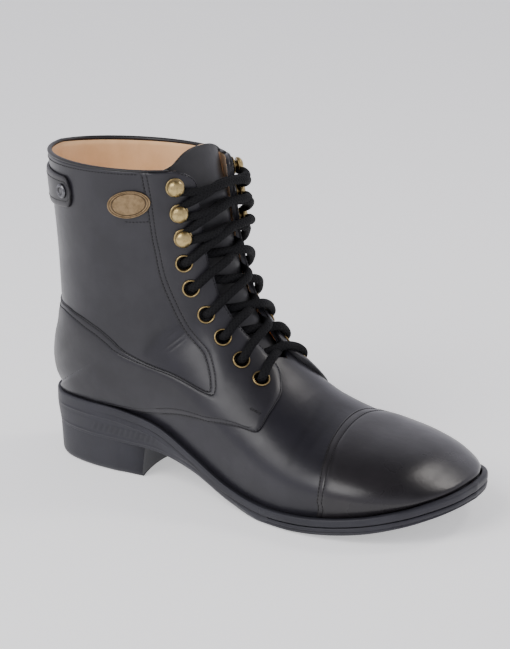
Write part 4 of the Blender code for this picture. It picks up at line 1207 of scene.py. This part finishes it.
THREAD = thread("waxed_thread", (0.006, 0.006, 0.007), (0.022, 0.021, 0.022))
capsules = []
for side in (-1, 1):
    along = np.linspace(0.15, 22.9, 900)
    size = band_size(along)
    for gap in INNER_ROWS:
        row, turn = band(along, gap / size)
        capsules += stitches(row, side * turn, LAYER - 0.00010 - 0.0013 * mound(gap, 0, 0.0045))
    along = np.linspace(0.20, 16.9, 800)
    size = band_size(along)
    row, turn = band(along, 1 - OUTER_ROWS[0] / size)
    capsules += stitches(row, side * turn, LAYER - 0.00068)
    along = np.linspace(12.15, 16.9, 300)
    row, turn = band(along, 1 - OUTER_ROWS[1] / band_size(along))
    capsules += stitches(row, side * turn, LAYER - 0.00030)
    bar = np.linspace(0, 1, 40)
    for lift in (0.0, 0.0035, 0.0070):
        turn = side * (0.360 - lift - 0.015 * bar)
        capsules += stitches(9.07 - 0.34 * bar, turn, LAYER + 0.0001, 0.0014, 0.0003)
    turn = np.linspace(0.345, 0.995, 500)
    capsules += stitches(18.88 + 0 * turn, side * turn, 0.00008)
turn = np.linspace(-0.412, -0.328, 80)
capsules += stitches(17.49 + (turn + 0.412) * -3.0, turn, 0.00008)
turn = np.linspace(-0.93, 0.93, 900)
reach, size = cap_reach(turn)
for gap in CAP_ROWS:
    row = TOE_ROW + reach * (1 - gap / size)
    capsules += stitches(row, turn, LAYER - 0.00042 - 0.0010 * mound(gap, 0, 0.004))
part = np.linspace(-0.985, 0.985, 600)
for rise in (-0.62, 0.62):
    row, turn = strap(part, rise + 0 * part)
    for side in (np.s_[:300], np.s_[300:]):
        capsules += stitches(row[side], turn[side], STRAP - 0.0001, 0.0018, 0.00022, last)
piece("stitching", capsules, THREAD, "lace")


# ---- Floor, light and camera ----------------------------------------------------------
# A plain pale floor under soft studio light: a key from the front and one from the right,
# in a pale surround that is dark overhead. The camera stands as in the photograph.
paint = Paint("pale_floor", Specular_IOR_Level=0.2, Emission_Color=(1, 1, 1, 1), Emission_Strength=0.55)
colour = paint.mix(paint.noise(3, 2, 0.5), (0.93, 0.93, 0.93), (0.95, 0.95, 0.95))
FLOOR = paint.done(Base_Color=colour, Roughness=0.82 + paint.noise(9, 2, 0.5) * 0.06)
HALF = 6.0
mesh = bpy.data.meshes.new("floor")
corners = [(x * HALF, y * HALF, 0) for x, y in ((-1, -1), (1, -1), (1, 1), (-1, 1))]
mesh.from_pydata(corners, [], [(0, 1, 2, 3)])
mesh.materials.append(FLOOR)
floor = bpy.data.objects.new("floor", mesh)
bpy.context.scene.collection.objects.link(floor)

world = bpy.data.worlds.new("studio")
bpy.context.scene.world = world
world.use_nodes = True
sky = world.node_tree
sky.nodes["Background"].inputs["Color"].default_value = (0.97, 0.955, 1.06, 1)
place, split, shade = (sky.nodes.new("ShaderNode" + kind) for kind in ("TexCoord", "SeparateXYZ", "MapRange"))
for number, value in ((1, 0.52), (2, 0.92), (3, 1.00), (4, 0.06)):
    shade.inputs[number].default_value = value
sky.links.new(place.outputs["Generated"], split.inputs[0])
sky.links.new(split.outputs["Z"], shade.inputs[0])
sky.links.new(shade.outputs[0], sky.nodes["Background"].inputs["Strength"])

# The spot that lamps and camera face, and the camera's place: degrees round it from the
# outer side, degrees up, degrees of roll, metres away, and the lens in millimetres.
AIM = Vector((0.11425, -0.03055, 0.10747))
VIEW_ROUND, VIEW_UP, VIEW_ROLL, VIEW_FAR, LENS = 31.7, 17.62, -0.39, 1.32569, 127.30


def towards(azimuth, elevation):
    """The unit vector from the boot at an azimuth and an elevation in degrees."""
    a, e = math.radians(azimuth), math.radians(elevation)
    return Vector((math.sin(a) * math.cos(e), -math.cos(a) * math.cos(e), math.sin(e)))


for name, azimuth, elevation, far, size, power, tint in (
        ("key", -18, 44, 1.5, 0.9, 13.5, (1.0, 0.99, 0.98)),
        ("right", 148, 46, 1.4, 0.30, 3.4, (1.0, 0.96, 0.92))):
    lamp = bpy.data.lights.new(name, "AREA")
    lamp.shape, lamp.size, lamp.energy, lamp.color = "SQUARE", size, power, tint
    holder = bpy.data.objects.new(name, lamp)
    away = towards(azimuth, elevation)
    holder.location = AIM + away * far
    holder.rotation_euler = away.to_track_quat("Z", "Y").to_euler()
    bpy.context.scene.collection.objects.link(holder)

back, right = towards(VIEW_ROUND, VIEW_UP), towards(VIEW_ROUND + 90, 0)
up = back.cross(right)
roll = math.radians(VIEW_ROLL)
one, two = right * math.cos(roll) + up * math.sin(roll), up * math.cos(roll) - right * math.sin(roll)
place = AIM + back * VIEW_FAR
view = bpy.data.cameras.new("camera")
view.sensor_width, view.lens, view.clip_start = 36, LENS, 0.01
camera = bpy.data.objects.new("camera", view)
camera.matrix_world = Matrix([(one[i], two[i], back[i], place[i]) for i in range(3)] + [(0, 0, 0, 1)])
bpy.context.scene.collection.objects.link(camera)
bpy.context.scene.camera = camera
